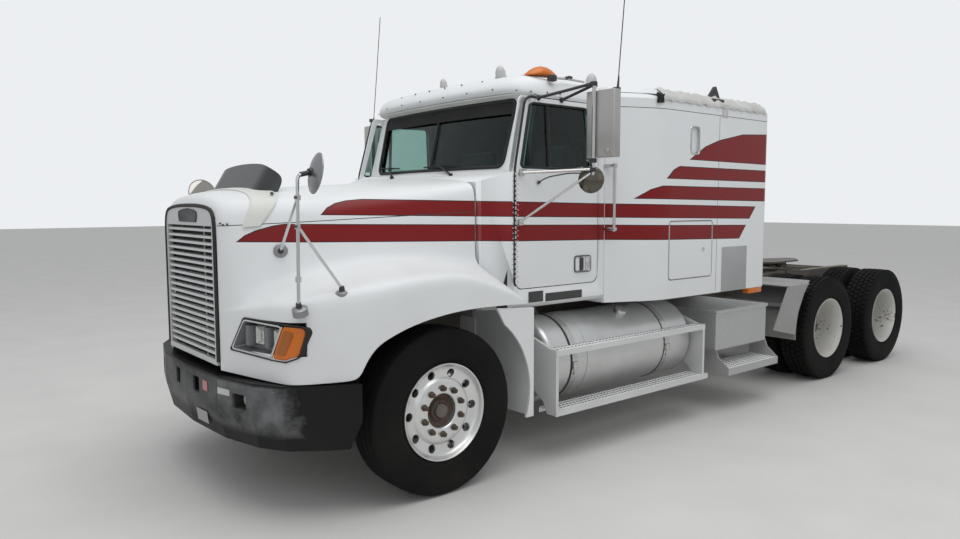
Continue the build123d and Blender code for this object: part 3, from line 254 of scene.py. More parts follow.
def weathered(name, color, rough, metallic=0.0, dust=0.3, dust_top=1.3, rust=0.0, rust_scale=26,
              spread=0.08, grain=0.05, marks=None, specular=0.5):
    """A finish with tone change, grain, dust and rust. marks adds paint over the plain colour."""
    material, tree, inputs = blank(name)
    aged = group_in(tree, mottle, Scale=3.4, Spread=spread)
    base = marks(tree, (*color, 1)) if marks else (*color, 1)
    tone = field(tree, "CombineColor", dict.fromkeys(range(3), aged["Tone"]))
    shown = tint(tree, 1.0, base, tone, "MULTIPLY")
    roughness = aged["Tone"] * rough
    if rust:
        flecks = group_in(tree, rust_fleck, Scale=rust_scale, Cover=rust)["Mask"]
        shown = tint(tree, flecks, shown, RUST_TONE)
        roughness = roughness.most(flecks * 0.85)
        metallic = (1.0 - flecks) * metallic if metallic else 0.0
    if dust:
        film = group_in(tree, dust_fall, Top=dust_top, Amount=dust)["Mask"]
        shown = tint(tree, film, shown, DUST_TONE)
        roughness = film * 0.4 + roughness
    wire(tree, inputs, {"Base Color": shown, "Roughness": roughness, "Metallic": metallic,
                        "Specular IOR Level": specular, "Normal": bumped(tree, aged["Grain"], grain, 0.002)})
    return material


def coat(material, *names):
    """A finish given to CAD nodes that stay as they are."""
    for name in names:
        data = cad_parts[name].data
        data.materials.clear()
        data.materials.append(material)


def put(name, shape, material, body, replaced=(), crease=35, moved=True):
    """A finished bmesh becomes a piece: it gets its place, finish and body."""
    if moved:
        bmesh.ops.translate(shape, verts=shape.verts, vec=(0, AXLE_Y, 0))
    data = as_mesh(name, shape)
    data.polygons.foreach_set("use_smooth", [True] * len(data.polygons))
    data.set_sharp_from_angle(angle=radians(crease))
    data.materials.append(material)
    piece = linked(name, data)
    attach(piece, body)
    if replaced:
        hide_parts(*replaced)
    return piece


# Frame, axles and springs. Pressed steel rails and forged axle parts, bolted and riveted,
# once painted black and now grey with road dust, with rust on the rougher parts.
chassis_paint = weathered("chassis_paint", (0.035, 0.034, 0.033), 0.62, dust=0.85, dust_top=1.5, rust=0.35,
                          spread=0.25, grain=0.25)
cast_iron = weathered("cast_iron", (0.045, 0.042, 0.038), 0.7, dust=0.7, dust_top=1.6, rust=0.5, spread=0.3,
                      grain=0.5)
coat(chassis_paint, "frame_rails", "front_axle", "front_springs", "drive_axles", "rear_suspension", "tie_rod",
     "knuckle_left", "knuckle_right", "fifth_wheel_base")
coat(cast_iron, "drive_shafts", "engine", "radiator")

# Tanks, steps and boxes. Rolled and folded bare aluminium gone dull, with stains.
tank_skin = weathered("tank_skin", (0.68, 0.69, 0.69), 0.30, metallic=0.80, dust=0.30, dust_top=1.1, spread=0.16,
                      grain=0.05)
tread_sheet = weathered("tread_sheet", (0.72, 0.73, 0.73), 0.42, metallic=0.35, dust=0.22, dust_top=1.2,
                        spread=0.12, grain=0.1)
coat(tank_skin, "fuel_tank_left", "fuel_tank_right")
coat(tread_sheet, "tank_steps_left", "tank_steps_right")


# White body paint with stripes. Aged gloss enamel on aluminium and moulded panels.
# The dark red stripes sweep up from the hood to the sleeper's rear edge.
RED = (0.205, 0.005, 0.006, 1)
STRIPE_EDGE = (0.02, 0.012, 0.012, 1)
WHITE = (0.78, 0.80, 0.81)
# Corners of each stripe as distance from the front axle and height, clockwise from its tip
stripes = (((-0.566, 1.719), (-0.528, 1.755), (-0.473, 1.781), (-0.403, 1.797), (-0.300, 1.806), (3.336, 1.747),
            (3.248, 1.651)),
           ((-1.017, 1.568), (-0.984, 1.598), (-0.930, 1.625), (-0.843, 1.651), (-0.780, 1.661), (3.192, 1.590),
            (3.095, 1.484)),
           ((1.808, 1.819), (1.925, 1.882), (2.035, 1.910), (3.565, 1.905), (3.565, 1.799)),
           ((2.086, 1.972), (2.158, 2.034), (2.235, 2.063), (3.565, 2.060), (3.565, 1.967)),
           ((2.377, 2.125), (2.570, 2.228), (2.765, 2.288), (3.112, 2.354), (3.565, 2.378), (3.565, 2.120)))
stripe_set, given, result = effect("stripes", (("Edge", 0.006),), ("Red", "Line"))
spot = on_object(stripe_set)
on_side = abs(split(stripe_set, "Normal")[0]).above(0.35)
nearest = -1.0
for corners in stripes:
    inside = 1.0
    for start, end in zip(corners, corners[1:] + corners[:1]):
        run_y, run_z = end[0] - start[0], end[1] - start[1]
        length = sqrt(run_y * run_y + run_z * run_z)
        inward = (0, run_z / length, -run_y / length)
        offset = inward[1] * (start[0] + AXLE_Y) + inward[2] * start[1]
        reach = field(stripe_set, "VectorMath", {0: spot, 1: inward}, "Value", operation="DOT_PRODUCT")
        inside = (reach - offset).least(inside)
    nearest = inside.most(nearest)
outlined = (nearest + given["Edge"]).above(0.0)
wire(stripe_set, result, {"Red": nearest.above(0.0) * on_side, "Line": outlined * on_side})


# The room behind the skins. The cab's and sleeper's inner faces are lined with grey trim, painted near black as
# painted shade of the room behind the glass. This mask tells the inside of a shell from its painted outside.

# The cab's side: how far out, the height above which it leans in, and how much
CAB_SIDE, LEAN_FROM, LEAN = 1.020, 2.010, 0.0627
# The windshield: how much it leans back, and the divisor of its bow
GLASS_RAKE, GLASS_BOW = 0.2432, 13
room, given, result = effect("room", (("Depth", 0.03),), ("Mask",))
x, y, rise = split(room)
across, back = abs(x), y - AXLE_Y
in_sleeper = back.above(1.579)
cab_limit = (rise - LEAN_FROM).most(0.0) * -LEAN + CAB_SIDE - given["Depth"]
bunk_limit = ((back - 1.578) * 0.4467 + 0.996).least(1.18)
square = across * across
ceiling = picked(in_sleeper, square * -0.096 + 2.665, 2.60)
screen = back - 0.732 - square / GLASS_BOW - (rise - LEAN_FROM) * GLASS_RAKE
deep = (picked(in_sleeper, cab_limit, bunk_limit) - across).least(ceiling - rise)
deep = deep.least(screen).least(3.535 - back).least(rise - 1.078)
wire(room, result, {"Mask": deep.above(0.0)})
# Seams between panels, each from one end to the other, as distance from the front axle and height
SEAMS = ((-1.100, 1.656, 0.440, 1.728), (1.600, 2.490, 3.560, 2.490), (2.760, 1.060, 2.766, 2.490),
         (0.470, 1.940, 0.660, 1.992))
panel_seams, given, result = effect("panel_seams", (("Width", 0.0026),), ("Mask",))
spot = on_object(panel_seams)
found = 0.0
for start_y, start_z, end_y, end_z in SEAMS:
    run = Vector((0, end_y - start_y, end_z - start_z))
    way = run.normalized()
    from_start = field(panel_seams, "VectorMath", {0: spot, 1: (0, start_y + AXLE_Y, start_z)}, "Vector",
                       operation="SUBTRACT")
    past, aside = (field(panel_seams, "VectorMath", {0: from_start, 1: line}, "Value", operation="DOT_PRODUCT")
                   for line in (way, (0, -way.z, way.y)))
    within = abs(past - run.length / 2).below(run.length / 2)
    found = (abs(aside).below(given["Width"]) * within).most(found)
wire(panel_seams, result, {"Mask": found})
# The inside's near-black tone: grey trim darkened into painted shade for the room behind the glass
INSIDE_TRIM_AND_SHADE_TONE = (0.032, 0.033, 0.036, 1)
SEAM_TONE = (0.05, 0.05, 0.05, 1)


def stripe_paint(tree, base):
    """The stripes laid over the white, the seams, and the near-black inside that is grey trim and painted shade.
    """
    painted = group_in(tree, stripe_set, Edge=0.005)
    lined = tint(tree, painted["Line"], base, STRIPE_EDGE)
    finished = tint(tree, painted["Red"], lined, RED)
    seamed = tint(tree, group_in(tree, panel_seams, Width=0.0024)["Mask"], finished, SEAM_TONE)
    return tint(tree, group_in(tree, room, Depth=0.03)["Mask"], seamed, INSIDE_TRIM_AND_SHADE_TONE)


white_paint = weathered("white_paint", WHITE, 0.30, dust=0.30, dust_top=1.5, spread=0.035, grain=0.02,
                        marks=stripe_paint, specular=0.32)
coat(white_paint, "sleeper_shell", "roof_cap", "door_left", "door_right", "baggage_door_left",
     "baggage_door_right", "fender_extensions")

# Black mouldings. Scuffed plastic and rubber that has gone grey.

# How far out the seam between the bumper's middle and its end stands
BUMPER_SEAM = 0.468


def scuffed(tree, base):
    """Grey wear on the bumper's front, with scratches and a seam near its middle."""
    spot = on_object(tree)
    x, y, z = split(tree)
    across = abs(x)
    cloud = noise(tree, spot, 4.5, 9, 0.6)
    scratch = noise(tree, field(tree, "Mapping", {"Vector": spot, "Scale": (3, 3, 38)}), 9, 6)
    reach = (cloud * 0.25 + 0.90 - across) * 14
    low = (z - (cloud * 0.1 + 0.44)) * 22
    zone = reach.least(low).least(((0.785 - z) * 60).least(1.0))
    faded = tint(tree, clamped(zone * ((cloud - 0.28) * 3.2)), base, (0.165, 0.168, 0.172, 1))
    inner_tone = tint(tree, across.above(BUMPER_SEAM), (0.55, 0.55, 0.56, 1), (1, 1, 1, 1))
    faded = tint(tree, 1.0, faded, inner_tone, "MULTIPLY")
    lines = clamped((scratch - 0.66) * 14)
    marked = tint(tree, lines * clamped(zone), faded, (0.30, 0.30, 0.29, 1))
    return tint(tree, abs(across - BUMPER_SEAM).below(0.003), marked, (0.006, 0.006, 0.006, 1))


black_moulding = weathered("black_moulding", (0.006, 0.0065, 0.008), 0.45, dust=0.03, dust_top=1.0, spread=0.3,
                           grain=0.25, marks=scuffed, specular=0.2)
coat(black_moulding, "front_bumper")
grille_silver = weathered("grille_silver", (0.60, 0.61, 0.61), 0.35, metallic=0.3, dust=0.25, spread=0.06)
stainless = weathered("stainless", (0.62, 0.61, 0.60), 0.22, metallic=1.0, dust=0.12, dust_top=3.0, spread=0.1)

# Glass. Tinted safety glass for the windows, and smoked acrylic for the bug deflector.
tinted, tree, inputs = blank("tinted_glass")
wire(tree, inputs, {"Base Color": (0.44, 0.60, 0.56, 1), "Roughness": 0.02, "Transmission Weight": 1.0,
                    "IOR": 1.30})
coat(tinted, "windshield", "door_glass_left", "door_glass_right")
smoked, tree, inputs = blank("smoked_plastic")
wire(tree, inputs, {"Base Color": (0.045, 0.05, 0.05, 1), "Roughness": 0.12, "Transmission Weight": 0.25})

# Cab inside. Grey moulded trim and dark cloth seats.
cab_trim = weathered("cab_trim", (0.075, 0.075, 0.08), 0.6, dust=0.1, grain=0.4)
coat(cab_trim, "dashboard")

# Tyres. Radial truck tyres of 1.036 m. The steered pair has worn ribs, the driven ones
# have five rows of blocks. Sidewalls carry raised rings where the moulds meet.
tyre_low, tyre_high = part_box("front_tyre_left")
FRONT_TYRE_X, WHEEL_Z = (tyre_low.x + tyre_high.x) / 2, (tyre_low.z + tyre_high.z) / 2
SIDES = (("left", 1), ("right", -1))
TANDEM_HALF = 0.658
WHEELBASE = 5.487
DRIVE_AXLES = ((1, WHEELBASE - TANDEM_HALF), (2, WHEELBASE + TANDEM_HALF))
# Middle of the inner and the outer tyre of a pair
TWIN_X = (0.730, 1.072)
SIDEWALL = ((0.108, 0.290), (0.1125, 0.306), (0.126, 0.326), (0.1305, 0.336), (0.1285, 0.346), (0.1345, 0.380),
            (0.136, 0.410), (0.1345, 0.438), (0.1355, 0.444), (0.1330, 0.452), (0.1285, 0.478))
# Radius at the middle of the tread, and how fast it falls off sideways
TYRE_TOP, TREAD_CROWN = 0.5178, 0.3
rubber = weathered("tyre_rubber", (0.004, 0.0045, 0.005), 0.80, dust=0.03, dust_top=1.6, spread=0.2, grain=0.3,
                   specular=0.15)


def recalculated(shape):
    """The same shape with every face turned to look out."""
    bmesh.ops.recalc_face_normals(shape, faces=shape.faces)
    return shape


def shifted(shape, y=0.0):
    """A shape made round the origin, moved up to the axles' height and along the truck."""
    bmesh.ops.translate(shape, verts=shape.verts, vec=(0, y, WHEEL_Z))
    return shape


def turned_out(profile, sign):
    """An outline of (x, radius) with its outer face to the left or the right."""
    return [(sign * x, radius) for x, radius in profile]


def lathe(profile, x=0.0, steps=96, shape=None):
    """Turn a closed outline of (x, radius) round the wheel's axle line."""
    own = bmesh.new()
    ring = [own.verts.new((x + along, 0, radius)) for along, radius in profile]
    edges = [own.edges.new(pair) for pair in zip(ring, ring[1:] + ring[:1])]
    bmesh.ops.spin(own, geom=ring + edges, cent=(0, 0, 0), axis=(1, 0, 0), angle=2 * pi, steps=steps,
                   use_merge=True)
    bmesh.ops.remove_doubles(own, verts=own.verts, dist=1e-5)
    return joined(shape, recalculated(own))


def joined(shape, own):
    """Add one bmesh to another, which may not exist yet."""
    if shape is None:
        return own
    data = as_mesh("part", own)
    shape.from_mesh(data)
    bpy.data.meshes.remove(data)
    return shape


def rib_tread():
    """Half outline of the steered tyre's tread: a shoulder and four straight grooves."""
    points = [(0.1275, 0.490), (0.1235, 0.502), (0.116, 0.5105), (0.104, 0.5145)]
    for groove in (0.082, 0.030):
        for offset, depth in ((0.006, 0), (0.003, 0.009), (-0.003, 0.009), (-0.006, 0)):
            crown = TYRE_TOP - TREAD_CROWN * (groove + offset) ** 2
            points.append((groove + offset, crown - depth))
    return points


def block_tread():
    """Half outline of a driven tyre's tread base, which carries the blocks."""
    return [(0.1275, 0.490), (0.1235, 0.498), (0.116, 0.502), (0.06, 0.505)]


def tyre(tread, x=0.0):
    """One tyre, closed across its beads."""
    half = list(SIDEWALL) + tread
    return lathe(half + turned_out(reversed(half), -1), x)


def tread_blocks(x, shape):
    """Five rows of blocks, each row turned half a pitch from its neighbours."""
    rows = ((-0.098, 0.040), (-0.050, 0.038), (0.0, 0.038), (0.050, 0.038), (0.098, 0.040))
    count = 58
    for index, (middle, width) in enumerate(rows):
        top = TYRE_TOP - TREAD_CROWN * middle * middle
        pitch = 2 * pi * top / count
        for step in range(count):
            turn = Matrix.Rotation((step + 0.5 * (index % 2)) * 2 * pi / count, 4, "X")
            shift = Matrix.Translation((x + middle, 0, top - 0.010))
            size = Matrix.Diagonal((width, pitch * 0.80, 0.020, 1))
            bmesh.ops.create_cube(shape, size=1, matrix=turn @ shift @ size)
    return shape


for side, sign in SIDES:
    shape = tyre(rib_tread(), sign * FRONT_TYRE_X)
    put(f"steer_tyre_{side}", shifted(shape), rubber, f"front_wheel_{side}",
        [f"front_tyre_{side}"], 28)
    for number, y in DRIVE_AXLES:
        shape = None
        for x in TWIN_X:
            shape = tread_blocks(sign * x, joined(shape, tyre(block_tread(), sign * x)))
        put(f"drive_tyres_{side}_{number}", shifted(shape, y), rubber, f"duals_{side}_{number}",
            [f"dual_tyres_{side}_{number}"], 28)

# Front wheels. Polished forged aluminium with ten round hand holes, ten rusty flange nuts
# and an open pilot bore that shows the rusty hub and its green painted cap.
polished = weathered("polished_wheel", (0.78, 0.79, 0.79), 0.26, metallic=0.85, dust=0.25, dust_top=1.3,
                     spread=0.12)
hub_rust = weathered("hub_rust", (0.055, 0.042, 0.034), 0.8, dust=0.3, dust_top=1.4, rust=0.5, spread=0.4,
                     grain=0.7)
hub_green = weathered("hub_green", (0.02, 0.10, 0.06), 0.6, dust=0.2, rust=0.3, spread=0.3, grain=0.3)
HAND_HOLES = 10
HOLE_RADIUS = 0.027
NUTS, NUT_RING = 10, 0.1429
front_face = ((0.124, 0.299), (0.1235, 0.2935), (0.117, 0.289), (0.104, 0.2835), (0.092, 0.276), (0.083, 0.266),
              (0.078, 0.250), (0.074, 0.222), (0.0735, 0.211), (0.0785, 0.2035), (0.086, 0.198), (0.0905, 0.190),
              (0.0925, 0.178), (0.092, 0.122), (0.089, 0.111), (0.083, 0.1055), (0.020, 0.104))
front_back = ((0.020, 0.120), (0.070, 0.122), (0.075, 0.172), (0.066, 0.190), (0.058, 0.208), (0.058, 0.250),
              (0.046, 0.259), (0.030, 0.250), (-0.050, 0.248), (-0.105, 0.270), (-0.124, 0.290),
              (-0.124, 0.299), (-0.112, 0.299), (-0.108, 0.2865), (-0.060, 0.280), (-0.030, 0.262),
              (0.030, 0.262), (0.060, 0.280), (0.108, 0.2865), (0.112, 0.299))


def spin_round(x, y, radius, count, turn=0.0):
    """Places on a circle round an axle."""
    for index in range(count):
        angle = 2 * pi * index / count + turn
        yield Vector((x, y + radius * sin(angle), WHEEL_Z + radius * cos(angle)))


def bar(shape, start, end, radius, end_radius=None, sides=20):
    """A round bar between two points, narrower at its end if asked."""
    start, end = Vector(start), Vector(end)
    run = end - start
    turn = run.to_track_quat("Z", "Y").to_matrix().to_4x4()
    bmesh.ops.create_cone(shape, cap_ends=True, segments=sides, radius1=radius, depth=run.length,
                          radius2=radius if end_radius is None else end_radius,
                          matrix=Matrix.Translation((start + end) / 2) @ turn)
    return shape


def shown_mesh(work):
    """The mesh of an object as its modifiers leave it."""
    bpy.context.view_layer.update()
    return bpy.data.meshes.new_from_object(work.evaluated_get(bpy.context.evaluated_depsgraph_get()))


def as_shape(data):
    """A mesh turned into a bmesh."""
    shape = bmesh.new()
    shape.from_mesh(data)
    return shape


def refined(shape, kind, **settings):
    """The bmesh after one of Blender's modifiers."""
    work = linked("work", as_mesh("work", shape))
    step = work.modifiers.new("step", kind)
    for key, value in settings.items():
        setattr(step, key, value)
    result = as_shape(shown_mesh(work))
    bpy.data.objects.remove(work)
    return result


def smoothed(shape, levels, **settings):
    """The bmesh after subdivision."""
    return refined(shape, "SUBSURF", levels=levels, render_levels=levels, **settings)


def thickened(shape, thickness, offset=0):
    """A sheet given its thickness, to both sides or to one."""
    return refined(shape, "SOLIDIFY", thickness=thickness, offset=offset)


def cut(shape, cutter):
    """Take a closed bmesh out of another."""
    tool = linked("tool", as_mesh("tool", cutter))
    result = refined(shape, "BOOLEAN", operation="DIFFERENCE", object=tool, solver="EXACT")
    bpy.data.objects.remove(tool)
    return result


def wheel_disc(profile, hole_x, hole_ring, hole_radius, x, y, sign):
    """One turned wheel with its hand holes cut, on its own axle line."""
    shape = shifted(lathe(turned_out(profile, sign), sign * x), y)
    holes = bmesh.new()
    reach = Vector((0.045, 0, 0))
    for middle in spin_round(sign * (x + hole_x), y, hole_ring, HAND_HOLES, pi / HAND_HOLES):
        bar(holes, middle - reach, middle + reach, hole_radius, sides=28)
    return cut(shape, holes)


def wheel_nuts(x, y, sign, height):
    """Ten flanged nuts with their studs round the pilot bore."""
    shape = bmesh.new()
    for middle in spin_round(x, y, NUT_RING, NUTS):
        for start, end, radius, far, sides in ((-0.002, 0.006, 0.0215, 0.0195, 20),
                                               (0.006, height, 0.0175, 0.0160, 6),
                                               (height, height + 0.007, 0.0085, 0.0080, 12)):
            bar(shape, middle + Vector((sign * start, 0, 0)), middle + Vector((sign * end, 0, 0)), radius, far,
                sides)
    return shape


for side, sign in SIDES:
    body = f"front_wheel_{side}"
    shape = wheel_disc(front_face + front_back, 0.066, 0.237, HOLE_RADIUS, FRONT_TYRE_X, 0, sign)
    put(f"steer_wheel_{side}", shape, polished, body, [f"front_rim_{side}"], 30)
    shape = wheel_nuts(sign * (FRONT_TYRE_X + 0.092), 0, sign, 0.026)
    put(f"steer_wheel_nuts_{side}", shape, hub_rust, body, crease=40)
    hub = ((0.020, 0.050), (0.020, 0.103), (0.052, 0.103), (0.055, 0.099), (0.050, 0.080), (0.046, 0.070),
           (0.066, 0.064), (0.068, 0.050), (0.062, 0.044), (0.060, 0.010), (0.040, 0.008), (0.040, 0.050))
    shape = lathe(turned_out(hub, sign), sign * FRONT_TYRE_X, 48)
    drum = ((-0.078, 0.212), (0.046, 0.212), (0.050, 0.205), (0.050, 0.100), (0.040, 0.100), (0.038, 0.200),
            (-0.078, 0.200))
    shape = shifted(lathe(turned_out(drum, sign), sign * FRONT_TYRE_X, 48, shape))
    for middle in spin_round(sign * (FRONT_TYRE_X + 0.066), 0, 0.056, 6):
        bar(shape, middle, middle + Vector((sign * 0.010, 0, 0)), 0.0075, sides=6)
    put(f"steer_hub_{side}", shape, hub_rust, body)
    shape = bar(bmesh.new(), (sign * (FRONT_TYRE_X + 0.056), 0, WHEEL_Z),
                (sign * (FRONT_TYRE_X + 0.078), 0, WHEEL_Z), 0.030, 0.022, 8)
    put(f"steer_hub_cap_{side}", shape, hub_green, body)

# Drive wheels. Deep white steel wheels bolted back to back, with rust eating in from the
# flange and round the hand holes, and a hub that reaches out through the outer one.
white_wheel = weathered("white_wheel", (0.62, 0.62, 0.59), 0.42, dust=0.35, dust_top=1.3, rust=0.42,
                        rust_scale=34, spread=0.1, grain=0.1)
rear_face = ((0.124, 0.299), (0.1235, 0.2925), (0.117, 0.289), (0.105, 0.281), (0.085, 0.272), (0.030, 0.262),
             (-0.060, 0.256), (-0.105, 0.250), (-0.122, 0.243), (-0.134, 0.225), (-0.150, 0.196),
             (-0.157, 0.183), (-0.160, 0.170), (-0.160, 0.110))
rear_back = ((-0.172, 0.110), (-0.172, 0.172), (-0.166, 0.192), (-0.148, 0.226), (-0.134, 0.262),
             (-0.124, 0.290), (-0.124, 0.299), (-0.112, 0.299), (-0.108, 0.2865), (-0.060, 0.280),
             (-0.030, 0.268), (0.030, 0.271), (0.060, 0.282), (0.108, 0.2865), (0.112, 0.299))
for side, sign in SIDES:
    for number, y in DRIVE_AXLES:
        body = f"duals_{side}_{number}"
        shape = wheel_disc(rear_face + rear_back, -0.150, 0.207, 0.029, TWIN_X[1], y, sign)
        inner = turned_out(rear_face + rear_back, -1)
        shape = joined(shape, wheel_disc(inner, 0.150, 0.207, 0.029, TWIN_X[0], y, sign))
        put(f"drive_wheels_{side}_{number}", shape, white_wheel, body,
            [f"dual_rims_{side}_{number}"], 30)
        out = TWIN_X[1]
        shape = wheel_nuts(sign * (out - 0.160), y, sign, 0.030)
        hub = ((-0.200, 0.050), (-0.200, 0.109), (-0.060, 0.104), (-0.052, 0.098), (-0.050, 0.088),
               (-0.040, 0.086), (-0.036, 0.070), (-0.030, 0.040), (-0.010, 0.036), (-0.006, 0.010),
               (-0.060, 0.008))
        turned = lathe(turned_out(hub, sign), sign * out, 48)
        drum = ((-0.450, 0.208), (-0.190, 0.208), (-0.182, 0.200), (-0.182, 0.100), (-0.194, 0.100),
                (-0.196, 0.194), (-0.450, 0.194))
        shape = joined(shape, shifted(lathe(turned_out(drum, sign), sign * out, 48, turned), y))
        for middle in spin_round(sign * (out - 0.052), y, 0.075, 8):
            bar(shape, middle, middle + Vector((sign * 0.020, 0, 0)), 0.0095, sides=6)
        put(f"drive_hub_{side}_{number}", shape, hub_rust, body)

# Hood. One moulded shell that tilts forward: a crowned bonnet, a valley, and two fenders
# that sweep over the wheels. The skin is 10 mm laminate, painted white.
def along(rows, y):
    """Values read from rows that start with a distance from the front axle."""
    if y <= rows[0][0]:
        return rows[0][1:]
    for low, high in zip(rows, rows[1:]):
        if y <= high[0]:
            share = (y - low[0]) / (high[0] - low[0])
            return tuple(a + share * (b - a) for a, b in zip(low[1:], high[1:]))
    return rows[-1][1:]


# y, then side x, shoulder z, top edge x, top edge z, crown z
BONNET = ((-1.104, 0.447, 1.655, 0.385, 1.763, 1.787), (-1.085, 0.490, 1.682, 0.415, 1.797, 1.830),
          (-1.04, 0.530, 1.690, 0.450, 1.812, 1.850), (-0.94, 0.585, 1.700, 0.500, 1.825, 1.868),
          (-0.64, 0.705, 1.712, 0.600, 1.838, 1.888), (0, 0.812, 1.790, 0.715, 1.888, 1.922),
          (0.44, 0.898, 1.868, 0.818, 1.935, 1.962))
VALLEY = ((-1.104, 0.447, 1.17), (-1.041, 0.60, 1.20), (-0.94, 0.665, 1.255), (-0.75, 0.765, 1.332),
          (-0.45, 0.80, 1.400), (-0.11, 0.85, 1.420), (0.44, 0.90, 1.384))
CREST = ((-1.13, 1.150), (-1.0, 1.205), (-0.93, 1.245), (-0.79, 1.285), (-0.48, 1.347), (-0.14, 1.388),
         (0.19, 1.380), (0.395, 1.303), (0.44, 1.278))
# Stations from the cab to the nose: y of the bonnet, y of the fender, x of the fender, z of the lower edge
STATIONS = ((0.44, 0.44, 1.200, 1.139), (0.20, 0.20, 1.200, 1.143), (-0.02, -0.02, 1.200, 1.130),
            (-0.27, -0.27, 1.200, 1.086), (-0.42, -0.42, 1.199, 1.030), (-0.50, -0.50, 1.188, 0.990),
            (-0.565, -0.565, 1.176, 0.905), (-0.598, -0.598, 1.166, 0.815), (-0.66, -0.66, 1.136, 0.807),
            (-0.75, -0.75, 1.091, 0.803), (-0.86, -0.855, 1.034, 0.800), (-0.935, -0.915, 0.988, 0.798),
            (-0.985, -0.945, 0.930, 0.798), (-1.02, -0.980, 0.815, 0.800), (-1.055, -1.030, 0.665, 0.806),
            (-1.085, -1.072, 0.540, 0.812), (-1.104, -1.104, 0.447, 0.816))


def half_section(station):
    """Thirteen points from the crown down to the fender's lower edge."""
    top_y, low_y, crest_x, lip_z = station
    side_x, shoulder, top_x, top_z, crown = along(BONNET, top_y)
    valley_x, valley_z = along(VALLEY, low_y)
    valley_x = min(valley_x, crest_x)
    (crest_z,) = along(CREST, low_y)
    side_x = min(side_x, crest_x)
    points = [(0, top_y, crown), (0.55 * top_x, top_y, crown - 0.18 * (crown - top_z)), (top_x, top_y, top_z),
              (side_x - 0.22 * (side_x - top_x), top_y, shoulder + 0.36 * (top_z - shoulder)),
              (side_x, top_y, shoulder - 0.05),
              (side_x + 0.15 * (valley_x - side_x), top_y, valley_z + 0.5 * (shoulder - valley_z)),
              (side_x + 0.45 * (valley_x - side_x), 0.5 * (top_y + low_y), valley_z + 0.09),
              (valley_x, low_y, valley_z),
              (0.45 * valley_x + 0.55 * crest_x, low_y, 0.42 * valley_z + 0.58 * crest_z),
              (crest_x - 0.16 * (crest_x - valley_x), low_y, crest_z - 0.004), (crest_x, low_y, crest_z - 0.040),
              (crest_x, low_y, 0.55 * crest_z + 0.45 * lip_z), (crest_x, low_y, lip_z)]
    return [Vector(point) for point in points]


def chain(shape, points):
    """A line of vertices joined by edges."""
    verts = [shape.verts.new(point) for point in points]
    return [shape.edges.new(pair) for pair in zip(verts, verts[1:])]


def skinned(rows):
    """A sheet bridged over rows of points with the same count."""
    shape = bmesh.new()
    lines = [chain(shape, row) for row in rows]
    for first, second in zip(lines, lines[1:]):
        bmesh.ops.bridge_loops(shape, edges=first + second)
    return shape


def both_sides(shape):
    """The sheet with its mirror image, joined down the middle."""
    bmesh.ops.mirror(shape, geom=shape.verts[:] + shape.edges[:] + shape.faces[:], axis="X", merge_dist=0.0005)
    bmesh.ops.remove_doubles(shape, verts=shape.verts, dist=0.0005)
    return recalculated(shape)


def prism(plan, low, high, axis="Z"):
    """A closed block from a flat outline of two coordinates, pulled along an axis."""
    place = {"Z": lambda a, b, c: (a, b, c), "X": lambda a, b, c: (c, a, b), "Y": lambda a, b, c: (a, c, b)}[axis]
    shape = bmesh.new()
    face = shape.faces.new([shape.verts.new(place(a, b, low)) for a, b in plan])
    pulled = bmesh.ops.extrude_face_region(shape, geom=[face])["geom"]
    moved = [item for item in pulled if isinstance(item, bmesh.types.BMVert)]
    bmesh.ops.translate(shape, verts=moved, vec=place(0, 0, high - low))
    return recalculated(shape)


# Lower and upper edge of the opening that each headlamp fills
LAMP_WINDOW = (0.953, 1.140)
sections = [half_section(station) for station in STATIONS]
tail = [sections[0][7:]]
for y, valley, crest_z, lip_z in ((0.535, (0.950, 1.315), 1.224, 1.137), (0.628, (1.005, 1.190), 1.160, 1.135)):
    row = [Vector((valley[0], y, valley[1])),
           Vector((0.45 * valley[0] + 0.66, y, 0.4 * valley[1] + 0.6 * crest_z)),
           Vector((1.165, y, crest_z)), Vector((1.2, y, crest_z - 0.02)),
           Vector((1.2, y, 0.5 * (crest_z + lip_z))), Vector((1.2, y, lip_z))]
    tail.insert(0, row)
shape = joined(skinned(tail), skinned(sections))
shape = both_sides(shape)
shape = thickened(smoothed(shape, 2, boundary_smooth="PRESERVE_CORNERS"), 0.010, -1)
for sign in (1, -1):
    plan = [(sign * x, y) for x, y in ((0.40, -1.25), (1.30, -1.25), (1.30, -0.845), (0.90, -0.845),
                                       (0.75, -0.92), (0.50, -1.00))]
    window = prism(plan, *LAMP_WINDOW)
    bmesh.ops.bisect_plane(window, geom=window.verts[:] + window.edges[:] + window.faces[:],
                           plane_co=(sign * 0.532, 0, 0.949), plane_no=(-sign * 0.195, 0, 0.116),
                           clear_outer=True)
    bmesh.ops.holes_fill(window, edges=[edge for edge in window.edges if edge.is_boundary])
    shape = cut(shape, recalculated(window))
put("hood_skin", shape, white_paint, "hood", ["hood"], 40)

# Rubber seals and bright trim. Black extruded rubber round every opening, and chromed or
# stainless tube and screws that hold the mirrors and lamps.
gasket_rubber = weathered("gasket_rubber", (0.012, 0.012, 0.013), 0.6, dust=0.12, spread=0.2, grain=0.3)
chrome = weathered("chrome", (0.66, 0.67, 0.68), 0.16, metallic=1.0, dust=0.14, dust_top=2.2, spread=0.16)
dark_fitting = weathered("dark_fitting", (0.035, 0.036, 0.038), 0.45, dust=0.2, spread=0.3, grain=0.3)


def tube(path, radius, shape=None, closed=False, steps=2):
    """A rod or seal of even thickness along a path."""
    line = bpy.data.curves.new("path", "CURVE")
    line.dimensions = "3D"
    line.bevel_depth = radius
    line.bevel_resolution = steps
    line.use_fill_caps = True
    run = line.splines.new("POLY")
    run.points.add(len(path) - 1)
    for point, place in zip(run.points, path):
        point.co = (*place, 1)
    run.use_cyclic_u = closed
    work = linked("path", line)
    own = as_shape(shown_mesh(work))
    bpy.data.objects.remove(work)
    bmesh.ops.remove_doubles(own, verts=own.verts, dist=1e-6)
    return joined(shape, own)


